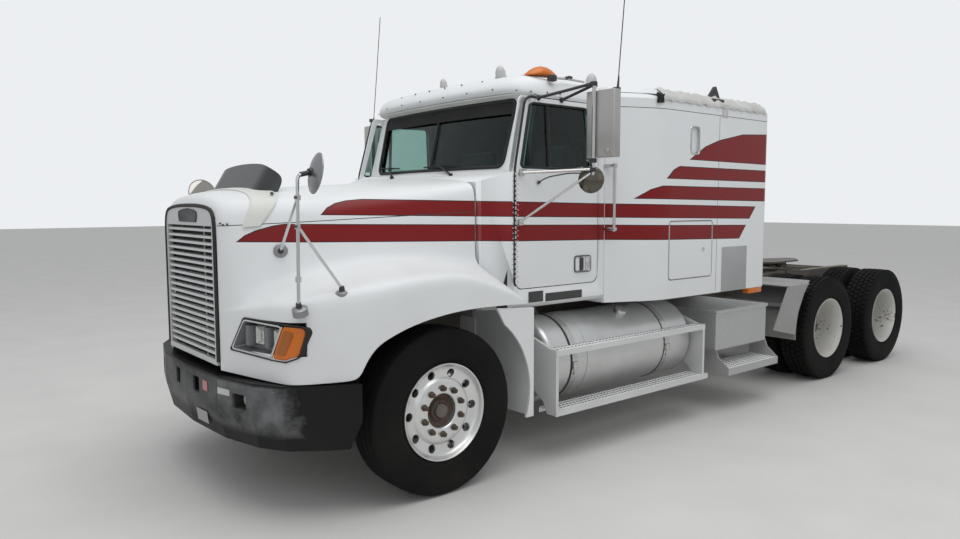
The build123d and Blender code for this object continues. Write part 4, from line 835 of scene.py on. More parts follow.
def bent(path, radius, steps=6):
    """A path whose inner corners are turned on a bend."""
    places = [Vector(place) for place in path]
    result = [places[0]]
    for before, corner, after in zip(places, places[1:], places[2:]):
        start = corner + (before - corner).normalized() * radius
        end = corner + (after - corner).normalized() * radius
        for index in range(steps + 1):
            share = index / steps
            result.append(start.lerp(corner, share).lerp(corner.lerp(end, share), share))
    return result + [places[-1]]


def rounded(corners, radius, steps=5):
    """A closed outline of two coordinates with its corners turned on a bend."""
    path = [(*corner, 0) for corner in corners]
    return [tuple(place)[:2] for place in bent([path[-1], *path, path[0]], radius, steps)[1:-1]]


def evenly(points, gap):
    """A closed outline with added points, so that no step is longer than the gap."""
    result = []
    for start, end in zip(points, points[1:] + points[:1]):
        start, end = Vector(start), Vector(end)
        parts = max(1, round((end - start).length / gap))
        result += [tuple(start.lerp(end, index / parts)) for index in range(parts)]
    return result


def moulding(rings, shape=None):
    """A closed body through rings of points, with both ends filled."""
    own = bmesh.new()
    loops = []
    for points in rings:
        verts = [own.verts.new(point) for point in points]
        loops.append([own.edges.new(pair) for pair in zip(verts, verts[1:] + verts[:1])])
    for first, second in zip(loops, loops[1:]):
        bmesh.ops.bridge_loops(own, edges=first + second)
    for loop in (loops[0], loops[-1]):
        bmesh.ops.edgeloop_fill(own, edges=loop)
    return joined(shape, recalculated(own))


def grown(points, middle, scale):
    """An outline made larger or smaller about a middle."""
    return [tuple(Vector(middle) + (Vector(point) - Vector(middle)) * scale) for point in points]


def eased_edges(shape, edges, radius):
    """Edges rounded off in two steps."""
    bmesh.ops.bevel(shape, geom=edges, offset=radius, segments=2, profile=0.5, affect="EDGES", material=-1)


def block(low, high, eased=0.0, shape=None):
    """A block between two corners with its edges eased."""
    own = bmesh.new()
    low, high = Vector(low), Vector(high)
    size = Matrix.Diagonal((*(high - low), 1))
    bmesh.ops.create_cube(own, size=1, matrix=Matrix.Translation((low + high) / 2) @ size)
    if eased:
        eased_edges(own, own.edges[:], eased)
    return joined(shape, own)


def screw(place, out, radius, shape, height=0.004):
    """A domed screw head that stands on a surface, facing out."""
    place, out = Vector(place), Vector(out).normalized()
    bar(shape, place - out * 0.002, place + out * height * 0.5, radius, radius * 0.95, 12)
    return bar(shape, place + out * height * 0.5, place + out * height, radius * 0.95, radius * 0.5, 12)


# Headlamps. A dark moulded housing with two square lamps behind a bright frame, and an
# amber turn lamp that wraps round the fender's corner, screwed into the hood from behind.
lamp_housing = weathered("lamp_housing", (0.17, 0.178, 0.185), 0.36, metallic=0.3, dust=0.1, spread=0.2,
                         grain=0.15)
amber = weathered("amber_lens", (0.62, 0.15, 0.008), 0.22, dust=0.05, dust_top=1.6, spread=0.12, grain=0.02)
amber_inner = weathered("amber_inner", (0.36, 0.105, 0.012), 0.3, dust=0.05, spread=0.2, grain=0.02)
reflector = weathered("lamp_reflector", (0.62, 0.62, 0.58), 0.24, metallic=0.55, dust=0.05, spread=0.35)
LAMP_FRAME = ((0.540, 0.957), (0.848, 0.934), (0.932, 1.116), (0.645, 1.131))
AMBER_EDGE = ((0.862, 0.930), (0.952, 0.930), (1.014, 0.958), (1.048, 1.086), (1.040, 1.112), (0.946, 1.119))
OPENING = ((0.532, 0.949), (0.858, 0.922), (0.957, 0.921), (1.024, 0.952), (1.057, 1.088), (1.048, 1.120),
           (0.942, 1.129), (0.645, 1.142))


def lamp_face(points, deeper=0.0):
    """Points of an outline laid on the headlamp's swept front."""
    return [Vector((x, (-1.106 + 0.33 * (x - 0.44) if x < 0.96 else -0.934 + 0.8 * (x - 0.96)) + deeper, z))
            for x, z in points]


frame_edge = rounded(LAMP_FRAME, 0.022)
frame_middle = (0.745, 1.035)
rings = (lamp_face(frame_edge, 0.075), lamp_face(frame_edge, 0.003),
         lamp_face(grown(frame_edge, frame_middle, 0.93), 0.004),
         lamp_face(grown(frame_edge, frame_middle, 0.80), 0.058))
shape = moulding(rings)
for x in (0.655, 0.800):
    swept = 0.33 * (x - 0.66)
    block((x - 0.012, -1.03 + swept, 0.985), (x + 0.030, -0.94 + swept, 1.100), 0.004, shape)
put("lamp_housings", both_sides(shape), lamp_housing, "hood", ["headlights"], 30)
shape = None
for low, high in (((0.688, 0.992), (0.768, 1.098)), ((0.826, 0.988), (0.892, 1.090))):
    edge = rounded((low, (high[0], low[1]), high, (low[0], high[1])), 0.012)
    middle = ((low[0] + high[0]) / 2, (low[1] + high[1]) / 2)
    rings = [lamp_face(grown(edge, middle, scale), deeper)
             for scale, deeper in ((1.0, 0.058), (1.0, 0.040), (0.90, 0.034), (0.45, 0.048), (0.2, 0.044))]
    shape = moulding(rings, shape)
put("lamp_bulbs", both_sides(shape), reflector, "hood")
shape = tube(lamp_face(evenly(grown(frame_edge, frame_middle, 0.985), 0.05), 0.001), 0.0062, closed=True)
shape = tube(lamp_face([(0.852, 0.934), (0.936, 1.116)]), 0.0045, shape)
put("lamp_frames", both_sides(shape), chrome, "hood")
edge = evenly(rounded(AMBER_EDGE, 0.014), 0.03)
middle = (0.955, 1.025)
shape = moulding((lamp_face(grown(edge, middle, 0.90), 0.060), lamp_face(grown(edge, middle, 0.985), 0.010),
                  lamp_face(grown(edge, middle, 0.985)), lamp_face(grown(edge, middle, 0.93), -0.005)))
put("turn_lamps", both_sides(shape), amber, "hood")
panel = rounded(((0.894, 0.962), (0.956, 0.955), (0.998, 1.085), (0.952, 1.096)), 0.014)
shape = moulding((lamp_face(panel), lamp_face(panel, -0.0065),
                  lamp_face(grown(panel, (0.95, 1.02), 0.8), -0.007)))
put("turn_lamp_panels", both_sides(shape), amber_inner, "hood")
shape = tube(lamp_face(evenly(rounded(OPENING, 0.014), 0.05), -0.001), 0.0042, closed=True)
BUCKET = ((0.850, 0.926), (0.957, 0.923), (1.022, 0.954), (1.055, 1.088), (1.047, 1.118), (0.942, 1.127))
bucket = evenly(rounded(BUCKET, 0.012), 0.05)
shape = moulding((lamp_face(grown(bucket, (0.95, 1.02), 0.96), 0.075), lamp_face(bucket, 0.008),
                  lamp_face(grown(bucket, (0.95, 1.02), 0.97), 0.006)), shape)
put("lamp_seals", both_sides(shape), gasket_rubber, "hood")

# Grille. A silver frame with nineteen folded slats and one rod sits in a black rubber seal in
# the hood's nose, with a dark screen behind and a blank oval plate on its top panel.
screen_black = weathered("screen_black", (0.008, 0.008, 0.009), 0.8, dust=0.1, spread=0.3, grain=0.6)
CROWN = ((0.434, 1.600), (0.431, 1.660), (0.421, 1.700), (0.402, 1.730), (0.370, 1.748), (0.310, 1.760),
         (0.220, 1.768), (0.120, 1.772), (0.040, 1.773))
half_path = [(x, -1.112, z) for x, z in ((0.434, 0.864), *CROWN)]
shape = tube(half_path + [(-x, y, z) for x, y, z in reversed(half_path)], 0.0120)
put("grille_seal", shape, gasket_rubber, "hood")
edge = [(x - 0.008, z - 0.006) for x, z in ((0.434, 0.846), *CROWN)]
shape = prism(edge + [(-x, z) for x, z in reversed(edge)], -1.116, -1.086, "Y")
shape = cut(shape, block((-0.397, -1.2, 0.872), (0.397, -1.0, 1.652)))
SLATS, SLAT_PITCH, LOWEST_SLAT = 19, 0.040, 0.908
for step in range(SLATS):
    z = LOWEST_SLAT + SLAT_PITCH * step
    slat = ((-1.112, z - 0.009), (-1.108, z + 0.005), (-1.088, z + 0.010), (-1.088, z + 0.007), (-1.103, z),
            (-1.106, z - 0.009))
    shape = joined(shape, prism(slat, -0.399, 0.399, "X"))
shape = block((0.212, -1.096, 0.870), (0.218, -1.090, 1.655), shape=shape)
put("grille_slats", shape, grille_silver, "hood", ["grille"], 30)
shape = prism(((-0.41, 0.85), (0.41, 0.85), (0.41, 1.66), (-0.41, 1.66)), -1.076, -1.070, "Y")
put("grille_screen", shape, screen_black, "hood")
plate_edge = rounded(((-0.150, 1.672), (0.150, 1.672), (0.168, 1.708), (0.160, 1.736), (0.105, 1.749), (0, 1.756),
                      (-0.105, 1.749), (-0.160, 1.736), (-0.168, 1.708)), 0.010)
shape = moulding([[Vector((x, y, z)) for x, z in grown(plate_edge, (0, 1.712), scale)]
                  for y, scale in ((-1.112, 1.0), (-1.121, 1.0), (-1.123, 0.95), (-1.120, 0.90))])
put("nose_plate", shape, dark_fitting, "hood")

# Bug deflector. A bent sheet of smoked acrylic that stands on a white moulded strap, which
# wraps the bonnet and is screwed to it at each side.
def strap_row(share):
    """The strap's points from the crown down the bonnet's side, at a share of its width."""
    row = []
    for index in range(5):
        y = -0.9
        for _ in range(6):
            point = half_section((y, y, 1.2, 0.815))[index]
            ahead = -1.012 + 0.4645 * (point.z - 1.622)
            behind = -0.930 + 0.80 * (point.z - 1.622)
            y = ahead + share * (behind - ahead)
        out = Vector((point.x, 0, point.z - 1.45)).normalized()
        row.append(point + out * (0.013 if 0 < share < 1 else 0.006))
    return row


shape = both_sides(skinned([strap_row(share) for share in (0, 0.06, 0.5, 0.94, 1)]))
shape = thickened(smoothed(shape, 2), 0.006, -1)
strap_white = weathered("strap_white", (0.71, 0.72, 0.68), 0.42, dust=0.25, dust_top=2.4, spread=0.12, grain=0.1)
put("deflector_strap", shape, strap_white, "hood", ["bug_deflector"], 40)
# place, way out, radius
STRAP_SCREWS = (((0.530, -0.800, 1.842), (0.6, 0, 0.8), 0.011), ((0.478, -1.094, 1.670), (1, -1, 0), 0.006),
                ((0.494, -1.084, 1.662), (1, -1, 0), 0.006), ((0.512, -1.066, 1.666), (1, -1, 0), 0.006))
shape = bmesh.new()
for sign in (1, -1):
    for (x, y, z), (out_x, out_y, out_z), size in STRAP_SCREWS:
        screw((sign * x, y, z), (sign * out_x, out_y, out_z), size, shape, size * 0.7)
put("deflector_screws", shape, dark_fitting, "hood")
blade_top = ((0, 2.037), (0.10, 2.0355), (0.20, 2.031), (0.285, 2.022), (0.35, 2.009), (0.39, 1.992),
             (0.415, 1.968), (0.428, 1.944), (0.434, 1.915), (0.436, 1.880))
rows = []
for share in (0, 0.35, 0.7, 1):
    row = []
    for x, top in blade_top:
        low = 1.888 - 0.10 * x
        z = low + share * (top - low)
        row.append(Vector((x, -0.930 + 0.6 * (z - 1.7) + 26 * max(x - 0.350, 0) ** 2.2, z)))
    rows.append(row)
shape = both_sides(skinned(rows))
shape = thickened(smoothed(shape, 1), 0.005)
put("deflector_blade", shape, smoked, "hood", crease=50)

# Hood mirrors. Chromed tube posts on round feet, braced by two struts with clamps, each
# with a round dished head that looks back along the fender.
mirror_glass = weathered("mirror_glass", (0.40, 0.38, 0.35), 0.05, metallic=1.0, dust=0.06, dust_top=3,
                         spread=0.05, grain=0)
HEAD = ((-0.024, 0.0), (-0.023, 0.020), (-0.017, 0.060), (-0.006, 0.096), (0.002, 0.110), (0.008, 0.112),
        (0.010, 0.108), (0.007, 0.104), (0.004, 0.0))
FACE = ((0.004, 0.0), (0.004, 0.1035), (0.0075, 0.1035), (0.0125, 0.07), (0.0145, 0.0))


def on_side_of(shape, sign):
    """A shape made for the left side, or its mirror image for the right."""
    bmesh.ops.transform(shape, matrix=Matrix.Diagonal((sign, 1, 1, 1)), verts=shape.verts)
    return recalculated(shape)


def aimed(profile, place, way, scale=1.0, shape=None):
    """A turned piece whose axle line points a given way."""
    own = lathe([(along_axis * scale, radius * scale) for along_axis, radius in profile], steps=48)
    turn = Vector(way).to_track_quat("X", "Z").to_matrix().to_4x4()
    bmesh.ops.transform(own, matrix=Matrix.Translation(place) @ turn, verts=own.verts)
    return joined(shape, own)


# The left one, then the right one, which is knocked askew: sign, top of the post, middle of
# the head, where it looks
mirror_rows = ((1, (1.085, -0.905, 1.930), (1.085, -0.804, 1.943), (0.16, 0.97, -0.17)),
               (-1, (1.088, -0.752, 1.836), (1.088, -0.642, 1.862), (-0.92, 0.1, 0.3)))
posts = feet = rims = faces = backs = None
for sign, top, head, way in mirror_rows:
    foot, top, head = Vector((1.062, -0.903, 1.245)), Vector(top), Vector(head)
    run = top - foot
    inboard = Vector((0.680, -0.822, 1.512))
    behind = Vector((1.078, -0.653, 1.318))
    low_clamp, high_clamp = foot + run * 0.61, foot + run * 0.83
    back = head - Vector(way).normalized() * 0.022
    own = tube(bent((foot, top, back), 0.030), 0.0100)
    own = tube((low_clamp, behind), 0.0085, own)
    own = tube((high_clamp, inboard), 0.0085, own)
    way_up = run.normalized()
    for place in (low_clamp, high_clamp, foot + run * 0.2):
        bar(own, place - way_up * 0.014, place + way_up * 0.014, 0.0165, sides=16)
    posts = joined(posts, on_side_of(own, sign))
    own, discs = bmesh.new(), bmesh.new()
    for place, out in ((foot, (0.25, -0.30, 0.92)), (behind, (0.12, -0.10, 0.98)),
                       (inboard, (0.92, -0.38, 0.06))):
        out = Vector(out).normalized()
        bar(own, place - out * 0.034, place + out * 0.012, 0.020, 0.014, 16)
        bar(discs, place - out * 0.060, place - out * 0.022, 0.043, 0.041, 32)
        bar(discs, place - out * 0.022, place - out * 0.014, 0.041, 0.024, 32)
    for place in (low_clamp, high_clamp):
        bar(own, place + Vector((0.010, -0.012, 0)), place + Vector((0.030, -0.030, 0)), 0.007, sides=6)
    arm = (back - top).normalized()
    bar(own, top + arm * 0.018, back - arm * 0.004, 0.0135, sides=12)
    bar(own, back - arm * 0.012, back + arm * 0.004, 0.022, 0.026, 16)
    feet = joined(feet, on_side_of(own, sign))
    rims = joined(rims, on_side_of(discs, sign))
    head.x *= sign
    look_way = Vector((way[0] * sign, way[1], way[2]))
    backs = aimed(HEAD, head, look_way, shape=backs)
    faces = aimed(FACE, head, look_way, shape=faces)
mirror_back = weathered("mirror_back", (0.30, 0.31, 0.32), 0.34, metallic=0.8, dust=0.15, dust_top=3, spread=0.15)
put("hood_mirror_backs", backs, mirror_back, "hood")
put("hood_mirror_discs", rims, mirror_back, "hood")
put("hood_mirror_posts", posts, chrome, "hood", ["hood_mirrors"])
put("hood_mirror_feet", feet, dark_fitting, "hood")
put("hood_mirror_faces", faces, mirror_glass, "hood")

# Windshield. Two curved panes of tinted glass, their joint and their edge sealed with black
# rubber, under a dark header trim, with two wipers parked on the glass.
def screen_place(x, z, behind=0.0):
    """A point on the windshield's curved surface, or behind it."""
    return Vector((x, 0.712 + GLASS_RAKE * (z - LEAN_FROM) + x * x / GLASS_BOW + behind, z))


seal = evenly(rounded(((-0.800, 2.034), (0.800, 2.034), (0.818, 2.502), (-0.818, 2.502)), 0.062, 7), 0.1)
shape = tube([screen_place(x, z, 0.001) for x, z in seal], 0.0125, closed=True)
shape = tube([screen_place(0, z, 0.008) for z in (2.034, 2.27, 2.502)], 0.0105, shape)
put("windshield_seal", shape, gasket_rubber, "chassis")
steps = [index / 8 - 1 for index in range(17)]
rows = [[screen_place(0.80 * step, z, -0.0015) for step in steps] for z in (2.498, 2.452, 2.402)]
put("header_trim", thickened(skinned(rows), 0.002), screen_black, "chassis")
shape = None
# blade from, blade to, arm's end on the blade, spindle
for first, second, hold, spindle in (((-0.062, 2.060), (0.345, 2.062), (0.150, 2.064), (0.359, 0.662, 1.962)),
                                     ((-0.775, 2.078), (-0.430, 2.066), (-0.600, 2.072), (-0.418, 0.656, 1.965))):
    (x, z), (far_x, far_z) = first, second
    blade = [screen_place(x + share * (far_x - x), z + share * (far_z - z), -0.010)
             for share in (0, 0.25, 0.5, 0.75, 1)]
    shape = tube(blade, 0.0055, shape)
    grip = screen_place(*hold, -0.020)
    spindle, proud = Vector(spindle), Vector((0, -0.008, 0.004))
    shape = tube((grip, spindle + Vector((0, 0, 0.022))), 0.0080, shape)
    bar(shape, spindle, spindle + Vector((0, -0.010, 0.036)), 0.019, 0.014, 16)
    shape = tube((blade[1] + proud, grip, blade[3] + proud), 0.004, shape)
put("wipers", shape, gasket_rubber, "chassis")

# Doors. Aluminium skins with black window seals, a vertical sash bar, riveted hinge edges,
# a chromed paddle latch in a square cup, and a black weather strip in the gap.
def side_x(z):
    """How far out the cab's side stands at a height."""
    return CAB_SIDE - LEAN * max(0.0, z - LEAN_FROM)


window_edge = evenly(rounded(((0.744, 2.022), (1.446, 2.022), (1.408, 2.458), (0.852, 2.458)), 0.030), 0.2)
# Rivets in each row down a door's front edge, and knuckles of its hinge
RIVETS = 22
door_edge = rounded(((0.689, 1.203), (1.507, 1.203), (1.507, 2.33), (1.4575, 2.5), (0.8135, 2.5), (0.689, 2.005)),
                    0.060, 7)
for side, sign in SIDES:
    body = f"door_{side}_body"
    shape = tube([(sign * (side_x(z) - 0.002), y, z) for y, z in window_edge], 0.0085, closed=True)
    shape = tube([(sign * (side_x(z) - 0.012), y, z) for y, z in ((1.014, 2.022), (1.012, 2.458))], 0.014, shape)
    put(f"window_seal_{side}", shape, gasket_rubber, body)
    shape = tube([(sign * (side_x(z) - 0.010), y, z) for y, z in evenly(door_edge, 0.2)], 0.0085, closed=True)
    put(f"door_seal_{side}", shape, gasket_rubber, "chassis")
    cup = rounded(((1.262, 1.288), (1.430, 1.288), (1.430, 1.402), (1.262, 1.402)), 0.020)
    rings = [[Vector((sign * (CAB_SIDE + out), y, z)) for y, z in grown(cup, (1.346, 1.345), scale)]
             for out, scale in ((-0.012, 0.98), (0.006, 1.0), (0.008, 0.93), (0.004, 0.85), (-0.006, 0.80))]
    shape = moulding(rings)
    shape = block((sign * 1.017, 1.372, 1.302), (sign * 1.027, 1.408, 1.388), 0.003, shape)
    put(f"latch_cup_{side}", shape, chrome, body)
    shape = block((sign * 1.012, 1.316, 1.300), (sign * 1.030, 1.352, 1.390), 0.004)
    shape = tube([(sign * 1.024, y, z) for y, z in cup], 0.0045, shape, closed=True)
    put(f"latch_paddle_{side}", shape, dark_fitting, body)
    shape, fixed = bmesh.new(), bmesh.new()
    for index in range(RIVETS):
        z = 1.255 + 0.0345 * index
        screw((sign * CAB_SIDE, 0.711, z), (sign, 0, 0), 0.0048, shape)
        screw((sign * CAB_SIDE, 0.668 if z > 1.45 else 0.664, z + 0.017), (sign, 0, 0), 0.0048, fixed)
    put(f"hinge_rivets_{side}", shape, stainless, body)
    put(f"post_rivets_{side}", fixed, stainless, "chassis")
    shape = block((sign * 1.0185, 0.685, 1.275), (sign * 1.0212, 0.694, 1.995))
    put(f"hinge_gap_{side}", shape, screen_black, "chassis")
    shape = bmesh.new()
    for index in range(RIVETS):
        z = 1.285 + 0.0325 * index
        bar(shape, (sign * 1.0215, 0.6895, z), (sign * 1.0215, 0.6895, z + 0.021), 0.0062, sides=10)
    put(f"hinge_knuckles_{side}", shape, stainless, body)

# Grab handles. A polished bar beside each door on two brackets.
shape = None
for z in (2.055, 1.592):
    shape = block((1.000, 1.566, z - 0.012), (1.125, 1.604, z + 0.012), 0.006, shape)
shape = tube(((1.110, 1.585, 2.072), (1.110, 1.585, 1.575)), 0.0125, shape)
put("grab_handles", both_sides(shape), stainless, "chassis")

# Door mirrors. A tall folded stainless case on a tube frame with four arms to the door, a
# round convex glass below it, and a whip aerial clamped to the case.
brushed = weathered("brushed_case", (0.48, 0.475, 0.46), 0.30, metallic=0.85, dust=0.10, dust_top=3.0,
                    spread=0.06)
convex_glass = weathered("convex_glass", (0.11, 0.105, 0.085), 0.10, metallic=0.8, dust=0.25, dust_top=3,
                         spread=0.1, grain=0)
for side, sign in SIDES:
    body = f"door_{side}_body"
    corners = ((1.292, 1.065), (1.542, 1.065), (1.536, 1.140), (1.306, 1.140))
    plan = [(sign * x, y) for x, y in rounded(corners, 0.020)]
    shape = prism(plan, 2.080, 2.512)
    ends = [edge for edge in shape.edges if abs(edge.verts[0].co.z - edge.verts[1].co.z) < 0.001]
    eased_edges(shape, ends, 0.004)
    screw((sign * 1.486, 1.065, 2.119), (0, -1, 0), 0.021, shape, 0.008)
    put(f"mirror_case_{side}", shape, brushed, body, [f"mirror_{side}"])
    post = 1.053
    shape = tube([(sign * 1.378, post, z) for z in (1.965, 2.570)], 0.0130)
    shape = tube([(sign * 1.378, post, 2.080), (sign * 1.366, post, 2.055), (sign * 1.30, 1.078, 2.07)], 0.007,
                 shape)
    shape = tube([(sign * 1.040, 0.735, 1.985), (sign * 1.37, post, 2.004)], 0.0105, shape)
    shape = tube([(sign * 1.030, 0.728, 1.662), (sign * 1.37, post, 1.985)], 0.0085, shape)
    for y, z in ((0.732, 1.985), (0.725, 1.656)):
        shape = block((sign * 1.0205, y - 0.020, z - 0.022), (sign * 1.044, y + 0.020, z + 0.022), 0.006, shape)
    shape = tube([(sign * 1.060, 1.04, 2.000), (sign * 1.12, 1.046, 2.0), (sign * 1.28, post, 2.02)], 0.005,
                 shape)
    put(f"mirror_frame_{side}", shape, stainless, body)
    shape = tube([(sign * 0.992, 0.924, 2.497), (sign * 1.20, 0.995, 2.530), (sign * 1.374, post, 2.560)], 0.0105)
    shape = tube([(sign * 0.992, 1.147, 2.499), (sign * 1.374, post, 2.548)], 0.0105, shape)
    shape = tube(bent([(sign * 1.030, 0.896, 1.923), (sign * 1.06, 0.93, 1.957), (sign * 1.20, 1.02, 1.985),
                       (sign * 1.36, post, 1.975)], 0.05), 0.0045, shape)
    bar(shape, (sign * 1.026, 0.888, 1.918), (sign * 1.036, 0.900, 1.929), 0.012, 0.010, 12)
    for x, z in ((1.374, 2.556), (1.372, 2.000), (1.376, 2.060)):
        shape = block((sign * (x - 0.020), post - 0.018, z - 0.015),
                      (sign * (x + 0.020), post + 0.018, z + 0.015), 0.006, shape)
    drop = [(sign * 1.376, post, 2.060), (sign * 1.376, 1.040, 2.010), (sign * 1.358, 1.046, 1.96)]
    shape = tube(bent(drop, 0.02), 0.006, shape)
    for y, z in ((0.924, 2.497), (1.147, 2.499)):
        bar(shape, (sign * 0.990, y, z), (sign * 1.002, y, z + 0.002), 0.020, 0.016, 20)
    put(f"mirror_arms_{side}", shape, dark_fitting, body)
    middle = Vector((sign * 1.358, 1.052, 1.936))
    way = (-0.40 * sign, 0.92, 0)
    shape = aimed(HEAD, middle, way, 0.80)
    put(f"convex_back_{side}", shape, convex_glass, body)
    shape = aimed(FACE, middle, way, 0.80)
    put(f"convex_face_{side}", shape, mirror_glass, body)
    shape = block((sign * 1.316, 1.139, 2.092), (sign * 1.526, 1.143, 2.500), 0.001)
    put(f"mirror_glass_{side}", shape, mirror_glass, body)
    shape = block((sign * 1.476, 1.118, 2.500), (sign * 1.512, 1.162, 2.528), 0.005)
    bar(shape, (sign * 1.497, 1.146, 2.520), (sign * 1.4975, 1.154, 2.60), 0.009, 0.005, 12)
    whip = [(sign * 1.4975, 1.150, 2.58), (sign * 1.4985, 1.195, 3.05), (sign * 1.5, 1.240, 3.55)]
    put(f"aerial_{side}", recalculated(tube(whip, 0.0034, shape)), dark_fitting, body)

# Cab roof. A moulded white cap with a rounded visor over the windshield, screwed down along
# its rim. The cab below it is the welded shell, cut where the cap sits on it.

# Heights of the roof's seat on the cab and of its top, and where its rear edge stands
ROOF_SEAT, ROOF_TOP, ROOF_REAR = 2.512, 2.700, 1.577
shape = as_shape(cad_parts["cab_shell"].data)
bmesh.ops.remove_doubles(shape, verts=shape.verts, dist=1e-5)
shape = cut(shape, block((-1.3, AXLE_Y + 0.3, ROOF_SEAT), (1.3, AXLE_Y + 1.7, 2.9)))
put("cab_body", shape, white_paint, "chassis", ["cab_shell"], 30, moved=False)
# Rim from the middle of the brow round the corner to the rear: x, y, turn inwards, share of brow, lift
RIM = ((0, 0.742, 0, 1, 0.036), (0.25, 0.747, 2, 1, 0.037), (0.50, 0.761, 4, 1, 0.037),
       (0.70, 0.781, 8, 1, 0.034), (0.82, 0.800, 16, 0.95, 0.029), (0.900, 0.832, 34, 0.8, 0.019),
       (0.950, 0.885, 56, 0.55, 0.008), (0.974, 0.960, 74, 0.3, 0.002), (0.984, 1.06, 84, 0.1, 0),
       (0.987, 1.22, 90, 0, 0), (0.988, 1.40, 90, 0, 0), (0.988, ROOF_REAR, 90, 0, 0))
# Inset and height of each ring, on the brow and on the side, and its share of the rim's lift
RINGS = ((0.094, 2.516, 0.014, 2.513, 0), (0.040, 2.518, 0.006, 2.514, 0.6), (0.008, 2.523, 0.000, 2.517, 1),
         (0.000, 2.540, -0.001, 2.532, 1), (0.010, 2.586, 0.010, 2.582, 0.5), (0.040, 2.638, 0.034, 2.624, 0.1),
         (0.100, 2.676, 0.085, 2.652, 0), (0.200, 2.697, 0.170, 2.667, 0), (0.400, 2.700, 0.400, 2.690, 0))
rows = []
for front_in, front_z, side_in, side_z, raised in RINGS:
    row = []
    for x, y, turn, share, lift in RIM:
        inset = share * front_in + (1 - share) * side_in
        z = share * front_z + (1 - share) * side_z + raised * lift
        px, py = max(x - inset * sin(radians(turn)), 0), y + inset * cos(radians(turn))
        if inset > 0.15:
            z = ROOF_TOP - 0.05 * px * px - (0.004 if inset < 0.3 else 0)
        row.append(Vector((px, min(py, ROOF_REAR), z)))
    rows.append(row)
last = len(RIM) - 1
rows.append([Vector((0, 1.18 + 0.397 * index / last, ROOF_TOP)) for index in range(last + 1)])
shape = thickened(smoothed(both_sides(skinned(rows)), 2, boundary_smooth="PRESERVE_CORNERS"), 0.034, -1)
put("cab_roof", shape, white_paint, "chassis", crease=50)
half = [(0.970, 2.514), (0.980, 2.530), (0.970, 2.578), (0.948, 2.618), (0.900, 2.645), (0.818, 2.658),
        (0.588, 2.675), (0.300, 2.686), (0.050, 2.690)]
shape = prism(half + [(-x, z) for x, z in reversed(half)], 1.545, 1.5765, "Y")
put("roof_rear_panel", shape, white_paint, "chassis")
shape = bmesh.new()
for x, y, turn in ((0.15, 0.7435, 0), (0.42, 0.755, 3), (0.68, 0.777, 8), (0.88, 0.823, 30), (0.952, 0.892, 58),
                   (0.981, 1.02, 82), (0.986, 1.14, 90)):
    for sign in (1, -1):
        screw((sign * x, y, 2.541 + 0.032 * max(0, 1 - max(0, x - 0.7) / 0.25)),
              (sign * sin(radians(turn)), -cos(radians(turn)), -0.1), 0.0055, shape)
for x, y, z in ((0.10, 0.800, 2.654), (0.30, 0.806, 2.653), (0.52, 0.822, 2.650), (0.74, 0.850, 2.645)):
    for sign in (1, -1):
        screw((sign * x, y, z), (0, -0.7, 0.9), 0.0065, shape, 0.006)
put("roof_screws", shape, dark_fitting, "chassis")
rows = [[Vector((x, y + inset, z)) for x, y, *_ in RIM[:7]] for inset, z in ((0.090, 2.510), (0.030, 2.531))]
put("brow_lining", thickened(both_sides(skinned(rows)), 0.006), strap_white, "chassis")

# Roof lamps. Clear marker domes on the brow and the rear edge, an amber teardrop at each side,
# and a small aerial base with its pale tube. All are screwed to the roof.
clear_dome = weathered("clear_dome", (0.50, 0.51, 0.52), 0.22, dust=0.2, dust_top=4, spread=0.12, grain=0.05)
shape = None
DOME = ((0, 0), (0, 0.042), (0.008, 0.043), (0.010, 0.038), (0.045, 0.036), (0.070, 0.026), (0.084, 0.010),
        (0.086, 0))
for place, way, scale in (((0.615, 0.915, 2.676), (0, -0.15, 1), 1.0),
                          ((-0.065, 0.915, 2.692), (0, -0.15, 1), 0.76), ((0.90, 1.555, 2.640), (0, 0, 1), 1.15)):
    shape = aimed(DOME, place, way, scale, shape)
put("marker_domes", shape, clear_dome, "chassis")
# Distance back, half width and height of each section
tear = ((0, 0.035, 0.012), (0.04, 0.075, 0.050), (0.12, 0.086, 0.082), (0.21, 0.064, 0.064),
        (0.290, 0.020, 0.018))
rings = []
for back, half, tall in tear:
    rings.append([Vector((0.858 + 0.94 * half * cos(pi * step / 12), 0.940 + back,
                          2.664 + 0.03 * back + tall * sin(pi * step / 12))) for step in range(13)])
shape = both_sides(smoothed(moulding(rings), 1))
bmesh.ops.translate(shape, verts=[vert for vert in shape.verts if vert.co.x < 0], vec=(0, 0, -0.026))
put("side_markers", shape, amber, "chassis")
shape = block((0.952, 1.040, 2.622), (1.000, 1.096, 2.666), 0.008)
shape = tube(((0.976, 1.20, 2.655), (0.972, 1.24, 2.668), (0.968, 1.27, 2.668)), 0.012, shape)
put("aerial_base", shape, dark_fitting, "chassis")
shape = tube(((0.976, 1.09, 2.648), (0.974, 1.22, 2.654), (0.95, 1.42, 2.656)), 0.009)
put("aerial_tube", shape, clear_dome, "chassis")

